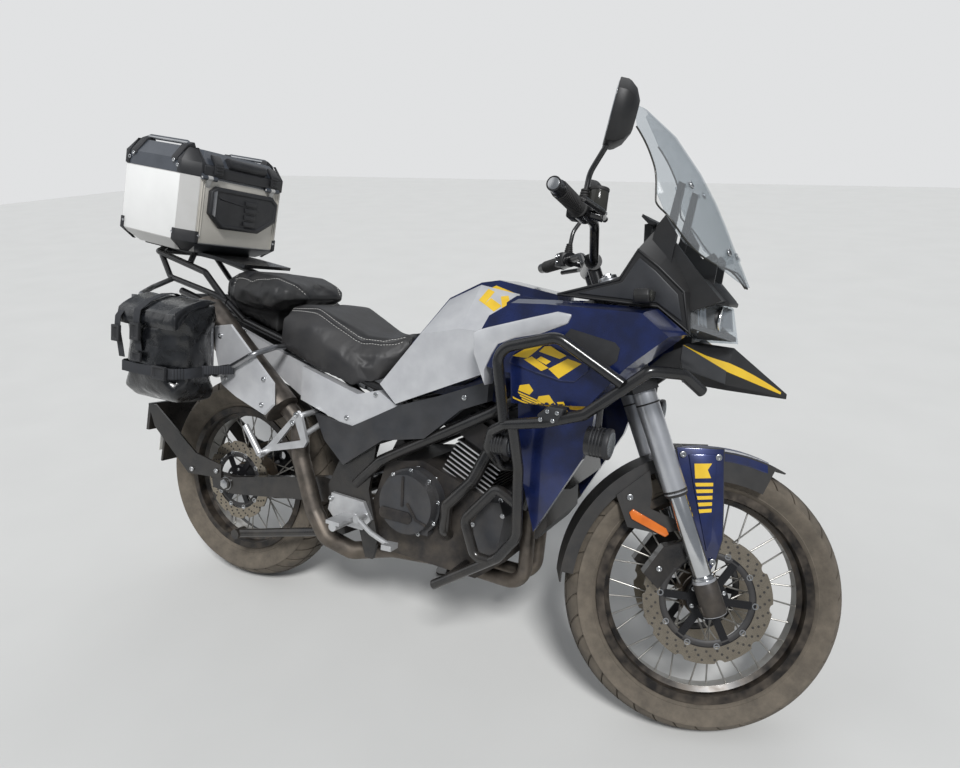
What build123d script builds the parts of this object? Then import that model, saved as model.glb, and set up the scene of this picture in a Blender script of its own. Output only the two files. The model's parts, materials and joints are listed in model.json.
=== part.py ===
from build123d import *
from math import asin, atan2, cos, degrees, hypot, radians, sin, sqrt
import os

# Adventure touring motorcycle, parked on its side stand with the steering on its left stop.
# Every piece is drawn on the upright, straight machine: X forward, Y left, Z up, millimetres,
# with the rear contact point below the rear axle at (0, 0, 0). keep() then steers and leans it.

# Chassis
wheelbase = 1421.0
rake = 25.0
trail = 105.0
lean = 13.7
steer_lock = 24.0
fit_gap = 0.3
pin_gap = 0.05

# Wheels: tyre radius, width, crown half width and drop, rim flange radius, bead radius
front_radius = 329.0
front_width = 110.0
front_flange = 256.0
front_bead = 242.0
front_bead_half = 36.0
rear_radius = 328.0
rear_width = 140.0
rear_flange = 231.0
rear_bead = 217.0
rear_bead_half = 48.0
crown_share = 0.94
crown_drop_share = 0.51
rim_wall = 5.0
well_depth = 15.0
spoke_count = 32
spoke_radius = 2.0
axle_radius = 10.0
front_hub_half = 36.0
rear_hub_half = 48.0
hub_radius = 30.0
flange_radius = 52.0

# Brakes and final drive
front_disc_radius = 150.0
front_disc_inner = 112.0
rear_disc_radius = 125.0
rear_disc_inner = 92.0
disc_thickness = 5.0
front_disc_y = 66.0
rear_disc_y = 78.0
sprocket_radius = 88.0
front_sprocket_radius = 36.0
chain_y = 86.0
chain_width = 15.0
chain_height = 11.0
chain_gap = 0.5

# Front fork
fork_half = 105.0
fork_tube = 27.0
stanchion = 20.5
fork_top_s = 1122.0
fork_outer_s = 607.0
lower_clamp_s = 868.0
upper_clamp_s = 1082.0
clamp_height = 32.0
cowl_room = 166.0
stem_radius = 20.0
head_tube = 33.0

# Handlebar
bar_radius = 11.0
bar_half = 400.0
grip_radius = 17.0
grip_length = 125.0
bar_end_radius = 15.0
bar_end_length = 26.0
bar_clamp_s = 1182.0
bar_clamp_off = 30.0

# Frame and swingarm
stay_s = 975.0
stay_off = 178.0
rail_radius = 15.0
rail_half = 150.0
pivot_x = 440.0
pivot_z = 390.0
pivot_plate_y = 142.0
plate_thick = 12.0
arm_inner = 106.0
arm_outer = 130.0
tyre_room = 32.0
subframe_radius = 11.0
subframe_half = 118.0

# Luggage
case_front = -132.0
case_length = 312.0
case_half = 205.0
case_floor = 1026.0
case_seam = 1251.0
case_top = 1330.0
case_wall = 3.0
case_corner = 38.0
case_pitch = 6.5
floor_inset = 40.0
floor_rise = 32.0
lid_band = 40.0
lid_inset = 32.0
luggage_plate = 12.0
bag_inner = 270.3
bag_outer = 425.0
bag_length = 215.0
bag_middle = -2.0
left_bag_back = 120.0

# Plate and splash flap behind the rear wheel
plate_half = 68.0
flap_half = 64.0

# Silencer
silencer_radius = 50.0

# Stands
stand_tube = 13.0
stand_pivot = (560.0, 170.0, 262.0)
stand_folded = (-0.96, 0.27, 0.1)
stand_knuckle = 14.0
stand_pin = 7.0
stand_foot_x = 610.0
stand_foot_y = 268.0
stand_foot_thick = 8.0
centre_pivot = (395.0, 268.0)
centre_foot = (80.0, 192.0)
centre_lug_y = 106.0
centre_tube = 14.0

sin_rake = sin(radians(rake))
cos_rake = cos(radians(rake))
steer_foot = Vector(wheelbase + trail, 0, 0)
steer_up = Vector(-sin_rake, 0, cos_rake)
steer_ahead = Vector(cos_rake, 0, sin_rake)
stem_plane = Plane(origin=steer_foot, x_dir=steer_ahead, z_dir=steer_up)
steer_axis = Axis(steer_foot, steer_up)

# the front axle in the stem plane: how far ahead of the stem, and how far up along it
axle_off = front_radius * sin_rake - trail * cos_rake
axle_s = front_radius * cos_rake + trail * sin_rake

pieces = {}


def crown(radius, width):
    """Half width of a tyre's tread arc, its drop to the shoulder, and the arc's radius."""
    half = width / 2 * crown_share
    drop = half * crown_drop_share
    return half, drop, (half * half + drop * drop) / (2 * drop)


def lowest(centre, axis, radius, width):
    """Height of a turned tyre's lowest point above the origin plane."""
    arc = crown(radius, width)[2]
    return centre.Z - (radius - arc) * sqrt(1 - axis.Z**2) - arc


def resting_place():
    """The lean, with the small pitch and rise that set both tyres on the floor."""
    pitch = 0.0
    for _ in range(12):
        turn = Location((0, 0, 0), (-lean, pitch, 0))
        hub = Vector(wheelbase, 0, front_radius)
        hub = Vertex(*hub).rotate(steer_axis, steer_lock).center()
        spin = Vector(0, 1, 0).rotate(Axis((0, 0, 0), steer_up), steer_lock)
        front_hub = Vertex(*hub).moved(turn).center()
        rear_hub = Vertex(0, 0, rear_radius).moved(turn).center()
        front_low = lowest(front_hub, Vertex(*spin).moved(turn).center(), front_radius, front_width)
        rear_low = lowest(rear_hub, Vertex(0, 1, 0).moved(turn).center(), rear_radius, rear_width)
        pitch = pitch + degrees((front_low - rear_low) / wheelbase)
    return Location((0, 0, -rear_low), (-lean, pitch, 0))


resting = resting_place()


def on_floor(x, y):
    """The point of the upright machine that stands at x, y on the floor once it leans."""
    upright = resting.inverse()
    floor_at = Vertex(0, 0, 0).moved(upright).center()
    floor_up = Vertex(0, 0, 1).moved(upright).center() - floor_at
    drop = (floor_up.X * (x - floor_at.X) + floor_up.Y * (y - floor_at.Y)) / floor_up.Z
    return Vector(x, y, floor_at.Z - drop)


def stem_point(off, y, s):
    return steer_foot + steer_ahead * off + steer_up * s + Vector(0, y, 0)


def tube(points, radius, bend=40.0):
    """A round tube along straight runs with bends of one radius."""
    with BuildLine() as path:
        if len(points) > 2:
            FilletPolyline(*points, radius=bend)
        else:
            Line(*points)
    with BuildSketch(Plane(origin=path.line @ 0, z_dir=path.line % 0)) as section:
        Circle(radius)
    sweep(section.sketch, path=path.line)


def rod(start, end, radius):
    """A round bar between two points."""
    start, end = Vector(*start), Vector(*end)
    with BuildSketch(Plane(origin=start, z_dir=end - start)) as section:
        Circle(radius)
    extrude(section.sketch, amount=(end - start).length)


def side_plate(outline, y_near, y_far, mode=Mode.ADD):
    """A plate with an outline in side view (x, z), between two distances from the middle."""
    with BuildSketch(Plane.XZ.offset(-y_near)) as section:
        with BuildLine():
            Polyline(*outline, close=True)
        make_face()
    extrude(section.sketch, amount=y_near - y_far, mode=mode)


def bevelled_plate(outline, y_near, y_far, bevel):
    """A side plate whose outer face is smaller all round by a bevel."""
    mid_x = sum(x for x, z in outline) / len(outline)
    mid_z = sum(z for x, z in outline) / len(outline)
    reach = max(hypot(x - mid_x, z - mid_z) for x, z in outline)
    share = 1 - bevel / reach
    faces = []
    for y, size in ((y_near, 1.0), (y_far, share)):
        with BuildSketch(Plane.XZ.offset(-y)) as section:
            with BuildLine():
                Polyline(*[(mid_x + (x - mid_x) * size, mid_z + (z - mid_z) * size) for x, z in outline],
                         close=True)
            make_face()
        faces.append(section.sketch)
    loft(faces, ruled=True)


def case_point(x, z):
    """A point of the level top case, in side view, after the case is pitched about its front lower edge."""
    turn = radians(case_pitch)
    along, up = x - case_front, z - case_floor
    return (case_front + along * cos(turn) + up * sin(turn), case_floor - along * sin(turn) + up * cos(turn))


def keep(builder, name, steered=False, pitched=False):
    """Label a finished piece, steer or pitch it where it needs that, lean it and remember it."""
    part = builder.part
    if steered:
        part = part.rotate(steer_axis, steer_lock)
    if pitched:
        part = part.rotate(Axis((case_front, 0, case_floor), (0, 1, 0)), case_pitch)
    part = part.moved(resting)
    part.label = name
    pieces[name] = part


def tyre(centre, radius, width, bead, bead_half, flange):
    half, drop, arc = crown(radius, width)
    with BuildPart() as ring:
        with BuildSketch(Plane(origin=centre, x_dir=(0, 1, 0), z_dir=(1, 0, 0))):
            with BuildLine():
                ThreePointArc((-half, radius - drop), (0, radius), (half, radius - drop))
                ThreePointArc((half, radius - drop), (width / 2, (radius + flange) / 2), (bead_half, flange))
                Polyline((bead_half, flange), (bead_half, bead + fit_gap), (-bead_half, bead + fit_gap),
                         (-bead_half, flange))
                ThreePointArc((-bead_half, flange), (-width / 2, (radius + flange) / 2), (-half, radius - drop))
            make_face()
        revolve(axis=Axis(centre, (0, 1, 0)))
    return ring


def rim(centre, flange, bead, bead_half, hub_half):
    """Rim, hub with two spoke flanges, and crossed spokes, joined as a laced wheel is."""
    x0, z0 = centre[0], centre[2]
    well = bead - well_depth
    edge = bead_half + fit_gap
    with BuildPart() as wheel:
        with BuildSketch(Plane(origin=centre, x_dir=(0, 1, 0), z_dir=(1, 0, 0))):
            with BuildLine():
                Polyline((-edge - rim_wall, flange), (-edge, flange), (-edge, bead),
                         (-edge * 0.55, bead), (-edge * 0.4, well), (edge * 0.4, well), (edge * 0.55, bead),
                         (edge, bead), (edge, flange), (edge + rim_wall, flange),
                         (edge + rim_wall, bead - rim_wall), (edge * 0.6, bead - rim_wall * 1.6),
                         (edge * 0.45, well - rim_wall), (-edge * 0.45, well - rim_wall),
                         (-edge * 0.6, bead - rim_wall * 1.6), (-edge - rim_wall, bead - rim_wall), close=True)
            make_face()
        revolve(axis=Axis(centre, (0, 1, 0)))
        with BuildSketch(Plane(origin=centre, x_dir=(0, 1, 0), z_dir=(1, 0, 0))):
            with BuildLine():
                flange_y = hub_half * 0.8
                Polyline((-hub_half, axle_radius + pin_gap), (-hub_half, hub_radius), (-flange_y - 4, hub_radius),
                         (-flange_y - 4, flange_radius), (-flange_y + 4, flange_radius),
                         (-flange_y + 8, hub_radius * 0.85), (flange_y - 8, hub_radius * 0.85),
                         (flange_y - 4, flange_radius), (flange_y + 4, flange_radius),
                         (flange_y + 4, hub_radius), (hub_half, hub_radius),
                         (hub_half, axle_radius + pin_gap), close=True)
            make_face()
        revolve(axis=Axis(centre, (0, 1, 0)))
        for i in range(spoke_count):
            rim_angle = 360 / spoke_count * i
            hub_angle = rim_angle + (38 if i % 4 < 2 else -38)
            side = 1 if i % 2 else -1
            root = flange_radius - 4
            rod((x0 + root * cos(radians(hub_angle)), side * hub_half * 0.8, z0 + root * sin(radians(hub_angle))),
                (x0 + (well - rim_wall / 2) * cos(radians(rim_angle)), side * edge * 0.2,
                 z0 + (well - rim_wall / 2) * sin(radians(rim_angle))), spoke_radius)
    return wheel


def disc(centre, y, radius, inner, spider_y, wave=10):
    """A wave-edged brake disc and the spider that carries it to the hub's end face."""
    side = 1 if y > 0 else -1
    with BuildSketch(Plane(origin=(centre[0], y - side * disc_thickness / 2, centre[2]), x_dir=(1, 0, 0),
                           z_dir=(0, side, 0))) as ring:
        Circle(radius)
        Circle(inner, mode=Mode.SUBTRACT)
        with PolarLocations(radius + 6, wave):
            Circle(13, mode=Mode.SUBTRACT)
    extrude(ring.sketch, amount=disc_thickness)
    with BuildSketch(Plane(origin=(centre[0], y - side * disc_thickness / 2, centre[2]), x_dir=(1, 0, 0),
                           z_dir=(0, side, 0))) as spider:
        with PolarLocations(inner / 2 + 24, 6):
            Rectangle(inner - 40, 18)
        Circle(48)
        Circle(axle_radius + 8, mode=Mode.SUBTRACT)
    extrude(spider.sketch, amount=disc_thickness)
    with BuildSketch(Plane(origin=(centre[0], spider_y + side * fit_gap, centre[2]), x_dir=(1, 0, 0),
                           z_dir=(0, side, 0))) as boss:
        Circle(46)
        Circle(axle_radius + 8, mode=Mode.SUBTRACT)
    extrude(boss.sketch, amount=abs(y) - disc_thickness / 2 - abs(spider_y) - fit_gap)


front_centre = (wheelbase, 0, front_radius)
rear_centre = (0, 0, rear_radius)


def from_axle(points):
    """Points in side view, from the front axle."""
    return [(front_centre[0] + x, front_centre[2] + z) for x, z in points]


# Wheels
front_tyre = tyre(front_centre, front_radius, front_width, front_bead, front_bead_half, front_flange)
keep(front_tyre, "front_tyre", steered=True)
front_rim = rim(front_centre, front_flange, front_bead, front_bead_half, front_hub_half)
keep(front_rim, "front_rim", steered=True)
with BuildPart() as front_discs:
    disc(front_centre, front_disc_y, front_disc_radius, front_disc_inner, front_hub_half)
    disc(front_centre, -front_disc_y, front_disc_radius, front_disc_inner, -front_hub_half)
keep(front_discs, "front_discs", steered=True)
rear_tyre = tyre(rear_centre, rear_radius, rear_width, rear_bead, rear_bead_half, rear_flange)
keep(rear_tyre, "rear_tyre")
rear_rim = rim(rear_centre, rear_flange, rear_bead, rear_bead_half, rear_hub_half)
keep(rear_rim, "rear_rim")
with BuildPart() as rear_disc:
    disc(rear_centre, -rear_disc_y, rear_disc_radius, rear_disc_inner, -rear_hub_half)
    with BuildSketch(Plane(origin=(0, chain_y - 4, rear_radius), x_dir=(1, 0, 0), z_dir=(0, 1, 0))):
        Circle(sprocket_radius)
        with PolarLocations(sprocket_radius - 25, 6):
            Circle(13, mode=Mode.SUBTRACT)
        Circle(axle_radius + 8, mode=Mode.SUBTRACT)
    extrude(amount=8)
    with BuildSketch(Plane(origin=(0, rear_hub_half + fit_gap, rear_radius), x_dir=(1, 0, 0), z_dir=(0, 1, 0))):
        Circle(44)
        Circle(axle_radius + 8, mode=Mode.SUBTRACT)
    extrude(amount=chain_y - 4 - rear_hub_half - fit_gap)
keep(rear_disc, "rear_disc_and_sprocket")

# Front fork: slider tubes, chrome stanchions, axle feet and the wheel axle as one welded-up node
with BuildPart() as fork:
    for side in (-1, 1):
        for radius, low, high in ((fork_tube, fork_outer_s, fork_top_s), (stanchion, axle_s, fork_outer_s + 5),
                                  (fork_tube, axle_s - 24, axle_s + 60)):
            with BuildSketch(stem_plane.offset(low)):
                with Locations((axle_off, side * fork_half)):
                    Circle(radius)
            extrude(amount=high - low)
        rod(Vector(*front_centre) + Vector(0, side * (front_hub_half + 1), 0),
            Vector(*front_centre) + Vector(0, side * (fork_half + 22), 0), axle_radius)
        rod(Vector(*front_centre) + Vector(0, side * (front_disc_y + 11), 0),
            Vector(*front_centre) + Vector(0, side * (fork_half + 12), 0), 22)
    rod(Vector(*front_centre) + Vector(0, -fork_half - 10, 0), Vector(*front_centre) + Vector(0, fork_half + 10, 0),
        axle_radius)
keep(fork, "fork_legs", steered=True)

with BuildPart() as clamps:
    for s in (lower_clamp_s, upper_clamp_s):
        with BuildSketch(stem_plane.offset(s - clamp_height / 2)):
            with Locations((axle_off, 0)):
                Rectangle(60, 2 * fork_half + 68)
            with Locations((axle_off / 2 - 14, 0)):
                Rectangle(60, 110)
            with Locations((0, 0)):
                Circle(36)
        extrude(amount=clamp_height)
    with BuildSketch(stem_plane.offset(lower_clamp_s - clamp_height / 2)):
        Circle(stem_radius)
    extrude(amount=upper_clamp_s - lower_clamp_s + clamp_height)
    for side in (-1, 1):
        with BuildSketch(stem_plane.offset(upper_clamp_s)):
            with Locations((bar_clamp_off, side * 45)):
                Circle(16)
        extrude(amount=bar_clamp_s - upper_clamp_s + 22)
        with BuildSketch(stem_plane.offset(lower_clamp_s - clamp_height)):
            with Locations((axle_off, side * fork_half)):
                Circle(fork_tube + fit_gap)
        extrude(amount=upper_clamp_s - lower_clamp_s + 2 * clamp_height, mode=Mode.SUBTRACT)
    rod(stem_point(bar_clamp_off, -70, bar_clamp_s), stem_point(bar_clamp_off, 70, bar_clamp_s), 21)
    with BuildSketch(Plane(origin=stem_point(bar_clamp_off, -80, bar_clamp_s), z_dir=(0, 1, 0))):
        Circle(bar_radius + fit_gap)
    extrude(amount=160, mode=Mode.SUBTRACT)
keep(clamps, "fork_clamps", steered=True)

# Handlebar from end to end, with grips, lever perches, levers and the brake fluid cup
bar_rise = stem_point(bar_clamp_off, 0, bar_clamp_s)
bar_end = Vector(945, bar_half, 1147)
bar_run = (bar_end - Vector(1038, 175, bar_rise.Z + 62)).normalized()
with BuildPart() as handlebar:
    tube([(bar_end.X, -bar_end.Y, bar_end.Z), (1038, -175, bar_rise.Z + 62), (bar_rise.X, -85, bar_rise.Z),
          (bar_rise.X, 85, bar_rise.Z), (1038, 175, bar_rise.Z + 62), (bar_end.X, bar_end.Y, bar_end.Z)],
         bar_radius, 45)
    for side in (-1, 1):
        tip = Vector(bar_end.X, side * bar_end.Y, bar_end.Z)
        along = Vector(-bar_run.X, -side * bar_run.Y, -bar_run.Z)
        rod(tip, tip + along * grip_length, grip_radius)
        rod(tip - along * bar_end_length, tip + along * 2, bar_end_radius)
        rod(tip + along * (grip_length + 6), tip + along * (grip_length + 50), 21)
        perch = tip + along * (grip_length + 28)
        lever_root = perch + Vector(46, 0, -8)
        lever_tip = tip + Vector(52, -side * 10, -12)
        rod(perch, lever_root, 10)
        tube([lever_root + along * 12, lever_root, lever_root - along * 60 + Vector(16, 0, -4), lever_tip], 6.5, 12)
    cup = Vector(bar_end.X, -bar_end.Y, bar_end.Z) + Vector(-bar_run.X, bar_run.Y, -bar_run.Z) * (grip_length + 28)
    rod(cup + Vector(30, 0, 0), cup + Vector(30, 0, 52), 20)
keep(handlebar, "handlebar", steered=True)

# Mirrors on stalks that rise from the lever perches
with BuildPart() as mirrors:
    for side in (-1, 1):
        foot = Vector(bar_end.X, side * bar_end.Y, bar_end.Z) \
            + Vector(-bar_run.X, -side * bar_run.Y, -bar_run.Z) * (grip_length + 28) + Vector(0, 0, 19.5)
        tube([foot, foot + Vector(4, 0, 60), foot + Vector(36, side * 52, 130)], 6, 25)
        head = foot + Vector(36, side * 52, 130)
        with BuildSketch(Plane(origin=head + Vector(8, 0, -14), x_dir=(0, side, 0), z_dir=(-1, 0, 0.12))):
            with BuildLine():
                Polyline((-34, -6), (-26, 74), (4, 112), (36, 118), (62, 84), (56, 30), (22, -8), close=True)
            make_face()
        extrude(amount=22)
    add(handlebar.part, mode=Mode.SUBTRACT)
keep(mirrors, "mirrors", steered=True)

# Front mudguard: an arched hood with side skirts, held between the fork legs
guard_inner = front_radius + 14
guard_half = front_width / 2 + 8
with BuildPart() as mudguard:
    for angle_from, angle_to, depth in ((66, 182, 4), (70, 120, 70), (120, 178, 30)):
        outer = guard_inner + 4
        with BuildSketch(Plane(origin=front_centre, x_dir=(1, 0, 0), z_dir=(0, -1, 0)).offset(-guard_half - 4)):
            with BuildLine():
                CenterArc((0, 0), outer, angle_from, angle_to - angle_from)
                CenterArc((0, 0), outer - depth, angle_from, angle_to - angle_from)
                for angle in (angle_from, angle_to):
                    Line((outer * cos(radians(angle)), outer * sin(radians(angle))),
                         ((outer - depth) * cos(radians(angle)), (outer - depth) * sin(radians(angle))))
            make_face()
        extrude(amount=2 * guard_half + 8)
    with BuildSketch(Plane(origin=front_centre, x_dir=(1, 0, 0), z_dir=(0, -1, 0)).offset(-guard_half)):
        Circle(guard_inner)
    extrude(amount=2 * guard_half, mode=Mode.SUBTRACT)
    for side in (-1, 1):
        side_plate(from_axle([(-241, 211), (-171, 281), (-159, 231), (-159, 191), (-86, 171), (-79, 153),
                              (-131, 135), (-206, 141)]), side * (guard_half + 3), side * (guard_half + 9))
        side_plate(from_axle([(-121, 343), (-9, 355), (6, 228), (14, 145), (6, 99), (-7, 63), (-23, 63),
                              (-103, 271)]), side * (guard_half + 12), side * (guard_half + 17))
        side_plate(from_axle([(-121, 311), (-9, 331), (-9, 355), (-121, 343)]), side * (guard_half + 2),
                   side * (guard_half + 14))
        for (x0, z0), (x1, z1), near, radius in ((*from_axle([(-111, 246), (-111, 246)]), guard_half, 14),
                                                 (*from_axle([(-93, 160), (-80, 160)]), guard_half + 5, 8)):
            rod((x0, side * near, z0), (x1, side * (fork_half - 5), z1), radius)
    add(fork.part, mode=Mode.SUBTRACT)
keep(mudguard, "front_mudguard", steered=True)

# Front brake calipers behind the fork legs, over the discs
with BuildPart() as calipers:
    for side in (-1, 1):
        side_plate(from_axle([(-159, 43), (-121, 111), (-69, 129), (-49, 101), (-91, 63), (-121, 11)]),
                   side * (front_disc_y - 14), side * (front_disc_y + 26))
        with BuildSketch(Plane.XZ.offset(-side * front_disc_y)):
            with Locations((front_centre[0], front_centre[2])):
                Circle(front_disc_radius + 3)
        extrude(amount=5, both=True, mode=Mode.SUBTRACT)
        (x0, z0), (x1, z1) = from_axle([(-69, 115), (-59, 101)])
        rod((x0, side * (front_disc_y + 14), z0), (x1, side * fork_half, z1), 12)
    add(fork.part, mode=Mode.SUBTRACT)
keep(calipers, "front_calipers", steered=True)

# The side stand's pivot, its foot on the floor, and the slanted pin it folds about
stand_top = Vector(*stand_pivot)
stand_foot = on_floor(stand_foot_x, stand_foot_y)
stand_hinge = (stand_foot - stand_top).cross(Vector(*stand_folded)).normalized()

# Frame: head tube, upper rails, down tubes, rear subframe, pivot plates and cross tubes
with BuildPart() as frame:
    with BuildSketch(stem_plane.offset(lower_clamp_s + clamp_height / 2 + 1)):
        Circle(head_tube)
    extrude(amount=upper_clamp_s - lower_clamp_s - clamp_height - 2)
    for side in (-1, 1):
        tube([(1090, side * 20, 905), (1000, side * 118, 790), (895, side * rail_half, 708),
              (580, side * rail_half, 523), (500, side * pivot_plate_y, 440)], rail_radius, 60)
        tube([(1118, side * 20, 850), (1040, side * 96, 720), (985, side * 100, 470)], rail_radius, 50)
        tube([(800, side * 138, 650), (620, side * subframe_half, 690), (240, side * subframe_half, 790),
              (-250, side * 100, 905)], subframe_radius, 60)
        tube([(520, side * 136, 490), (300, side * subframe_half, 640), (-40, side * subframe_half + side * 0, 850)],
             subframe_radius, 60)
        side_plate([(415, 340), (408, 420), (470, 560), (560, 560), (545, 430), (585, 300), (572, 238), (548, 238),
                    (520, 320)], side * (pivot_plate_y - plate_thick / 2), side * (pivot_plate_y + plate_thick / 2))
        side_plate([(470, 350), (512, 332), (508, 304), (centre_pivot[0] + 20, centre_pivot[1] - 18),
                    (centre_pivot[0] - 18, centre_pivot[1] - 16), (centre_pivot[0] - 16, centre_pivot[1] + 18)],
                   side * (centre_lug_y - 6), side * (centre_lug_y + 6))
        rod((centre_pivot[0], side * centre_lug_y, centre_pivot[1]),
            (centre_pivot[0], side * (centre_lug_y + 22), centre_pivot[1]), 8)
    for x, z, half in ((500, 545, pivot_plate_y), (620, 690, subframe_half), (240, 790, subframe_half),
                       (-30, 854, 110), (500, 318, pivot_plate_y)):
        rod((x, -half, z), (x, half, z), subframe_radius)
    rod((1040, -96, 722), (1040, 96, 722), subframe_radius)
    rod((895, -rail_half, 708), (895, rail_half, 708), subframe_radius)
    for low, high, radius in ((-36, -stand_knuckle - 0.5, 13), (-20, 20, stand_pin),
                              (stand_knuckle + 0.5, stand_knuckle + 5, 12)):
        rod(stand_top + stand_hinge * low, stand_top + stand_hinge * high, radius)
    for side in (-1, 1):
        rod(stem_point(head_tube - 5, side * 25, stay_s), stem_point(stay_off, side * 25, stay_s), 9)
    with BuildSketch(stem_plane.offset(lower_clamp_s - 30)):
        Circle(stem_radius + pin_gap)
    extrude(amount=upper_clamp_s - lower_clamp_s + 60, mode=Mode.SUBTRACT)
keep(frame, "frame")

# Swingarm with its pivot tube, brace and axle
brace_x = rear_radius + tyre_room
with BuildPart() as swingarm:
    rod((pivot_x, -pivot_plate_y + plate_thick / 2 + fit_gap, pivot_z),
        (pivot_x, pivot_plate_y - plate_thick / 2 - fit_gap, pivot_z), 24)
    for side in (-1, 1):
        side_plate([(pivot_x + 26, pivot_z + 30), (pivot_x - 60, pivot_z + 40), (30, rear_radius + 26),
                    (-55, rear_radius + 24), (-62, rear_radius), (-55, rear_radius - 24), (30, rear_radius - 28),
                    (pivot_x - 60, pivot_z - 34), (pivot_x + 26, pivot_z - 28)],
                   side * arm_inner, side * arm_outer)
    rod((brace_x, -arm_inner - 4, pivot_z - 14), (brace_x, arm_inner + 4, pivot_z - 14), 20)
    rod((0, -arm_outer - 12, rear_radius), (0, arm_outer + 12, rear_radius), axle_radius)
    for side in (-1, 1):
        rod((0, side * (arm_outer - 2), rear_radius), (0, side * (arm_outer + 9), rear_radius), 19)
        rod((0, side * (rear_hub_half + 44), rear_radius), (0, side * (arm_inner + 2), rear_radius), 17)
keep(swingarm, "swingarm")

with BuildPart() as shock:
    rod((420, 0, 452), (470, 0, 640), 30)
    rod((408, 0, 408), (425, 0, 470), 14)
    rod((465, 0, 620), (490, 0, 690), 14)
    rod((489, -60, 690), (489, 60, 690), 12)
    add(swingarm.part, mode=Mode.SUBTRACT)
    add(frame.part, mode=Mode.SUBTRACT)
keep(shock, "rear_shock")

# Drive chain round both sprockets
with BuildPart() as chain:
    front_at = (545.0, 402.0)
    chain_line = atan2(front_at[1] - rear_radius, front_at[0])
    span = hypot(front_at[0], front_at[1] - rear_radius)
    for grow, mode in ((chain_height, Mode.ADD), (0, Mode.SUBTRACT)):
        big = sprocket_radius + chain_gap + grow
        small = front_sprocket_radius + chain_gap + grow
        tilt = degrees(asin((big - small) / span))
        with BuildSketch(Plane(origin=(0, chain_y - chain_width / 2, rear_radius),
                               x_dir=(cos(chain_line), 0, sin(chain_line)), z_dir=(0, 1, 0))):
            with BuildLine():
                CenterArc((0, 0), big, 90 - tilt, 180 + 2 * tilt)
                CenterArc((span, 0), small, -90 + tilt, 180 - 2 * tilt)
                for sign in (-1, 1):
                    Line((big * sin(radians(tilt)), sign * big * cos(radians(tilt))),
                         (span + small * sin(radians(tilt)), sign * small * cos(radians(tilt))))
            make_face()
        extrude(amount=chain_width, mode=mode)
    with BuildSketch(Plane(origin=(front_at[0], chain_y - 4, front_at[1]), x_dir=(1, 0, 0), z_dir=(0, 1, 0))):
        Circle(front_sprocket_radius)
    extrude(amount=8)
    rod((front_at[0], chain_y - 15.7, front_at[1]), (front_at[0], chain_y, front_at[1]), 14)
keep(chain, "drive_chain")

# Engine: crankcase, leaning finned cylinder and head in one block, then its bolted covers
engine_lean = 24.0
case_half_width = 128.0
cylinder_foot = (800.0, 470.0)
with BuildPart() as engine:
    side_plate([(520, 330), (590, 268), (880, 262), (960, 330), (955, 430), (900, 478), (700, 540), (585, 520),
                (560, 430)], -case_half_width, case_half_width)
    up = Vector(sin(radians(engine_lean)), 0, cos(radians(engine_lean)))
    barrel = Plane(origin=(cylinder_foot[0], 0, cylinder_foot[1]), x_dir=(cos(radians(engine_lean)), 0,
                   -sin(radians(engine_lean))), z_dir=up)
    with BuildSketch(barrel):
        Rectangle(112, 196)
    extrude(amount=210)
    for i in range(8):
        with BuildSketch(barrel.offset(30 + i * 13)):
            Rectangle(142, 220)
        extrude(amount=5)
    with BuildSketch(barrel.offset(142)):
        Rectangle(150, 230)
    extrude(amount=62)
    with BuildSketch(barrel.offset(204)):
        Rectangle(126, 206)
    extrude(amount=18)
    add(swingarm.part, mode=Mode.SUBTRACT)
    add(frame.part, mode=Mode.SUBTRACT)
    with BuildSketch(Plane(origin=(530, chain_y - 16, 400), x_dir=(1, 0, 0), z_dir=(0, 1, 0))):
        Rectangle(170, 140)
    extrude(amount=80, mode=Mode.SUBTRACT)
keep(engine, "engine")

clutch_at = (686.0, 432.0)
with BuildPart() as covers:
    for side, at, radius in ((-1, clutch_at, 90.0), (1, (700.0, 405.0), 82.0)):
        with BuildSketch(Plane(origin=(at[0], side * (case_half_width + fit_gap), at[1]), x_dir=(1, 0, 0),
                               z_dir=(0, side, 0))):
            Circle(radius)
            with Locations((0, side * 30)):
                Rectangle(120, 100)
        extrude(amount=30)
        with BuildSketch(Plane(origin=(at[0], side * (case_half_width + 30), at[1]), x_dir=(1, 0, 0),
                               z_dir=(0, side, 0))):
            Circle(radius - 6)
        extrude(amount=28, taper=10)
        bevelled_plate([(895, 350), (880, 430), (905, 500), (958, 512), (975, 470), (962, 350), (935, 338)],
                       side * (case_half_width + fit_gap), side * 186, 14)
keep(covers, "engine_covers")

with BuildPart() as radiator:
    with BuildSketch(Plane(origin=(1062, 0, 640), x_dir=(0, 1, 0), z_dir=(1, 0, 0.22))):
        Rectangle(250, 190)
    extrude(amount=26)
    for side in (-1, 1):
        rod((1018, side * 98, 640), (1070, side * 98, 640), 8)
        tube([(1066, side * 108, 600), (1020, side * 132, 640), (905, side * 150, 632), (868, side * 168, 532),
              (802, side * 172, 455), (790, side * 150, 380), (790, side * 126, 360)], 16, 22)
    add(frame.part, mode=Mode.SUBTRACT)
    add(engine.part, mode=Mode.SUBTRACT)
    add(covers.part, mode=Mode.SUBTRACT)
keep(radiator, "radiator")

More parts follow.
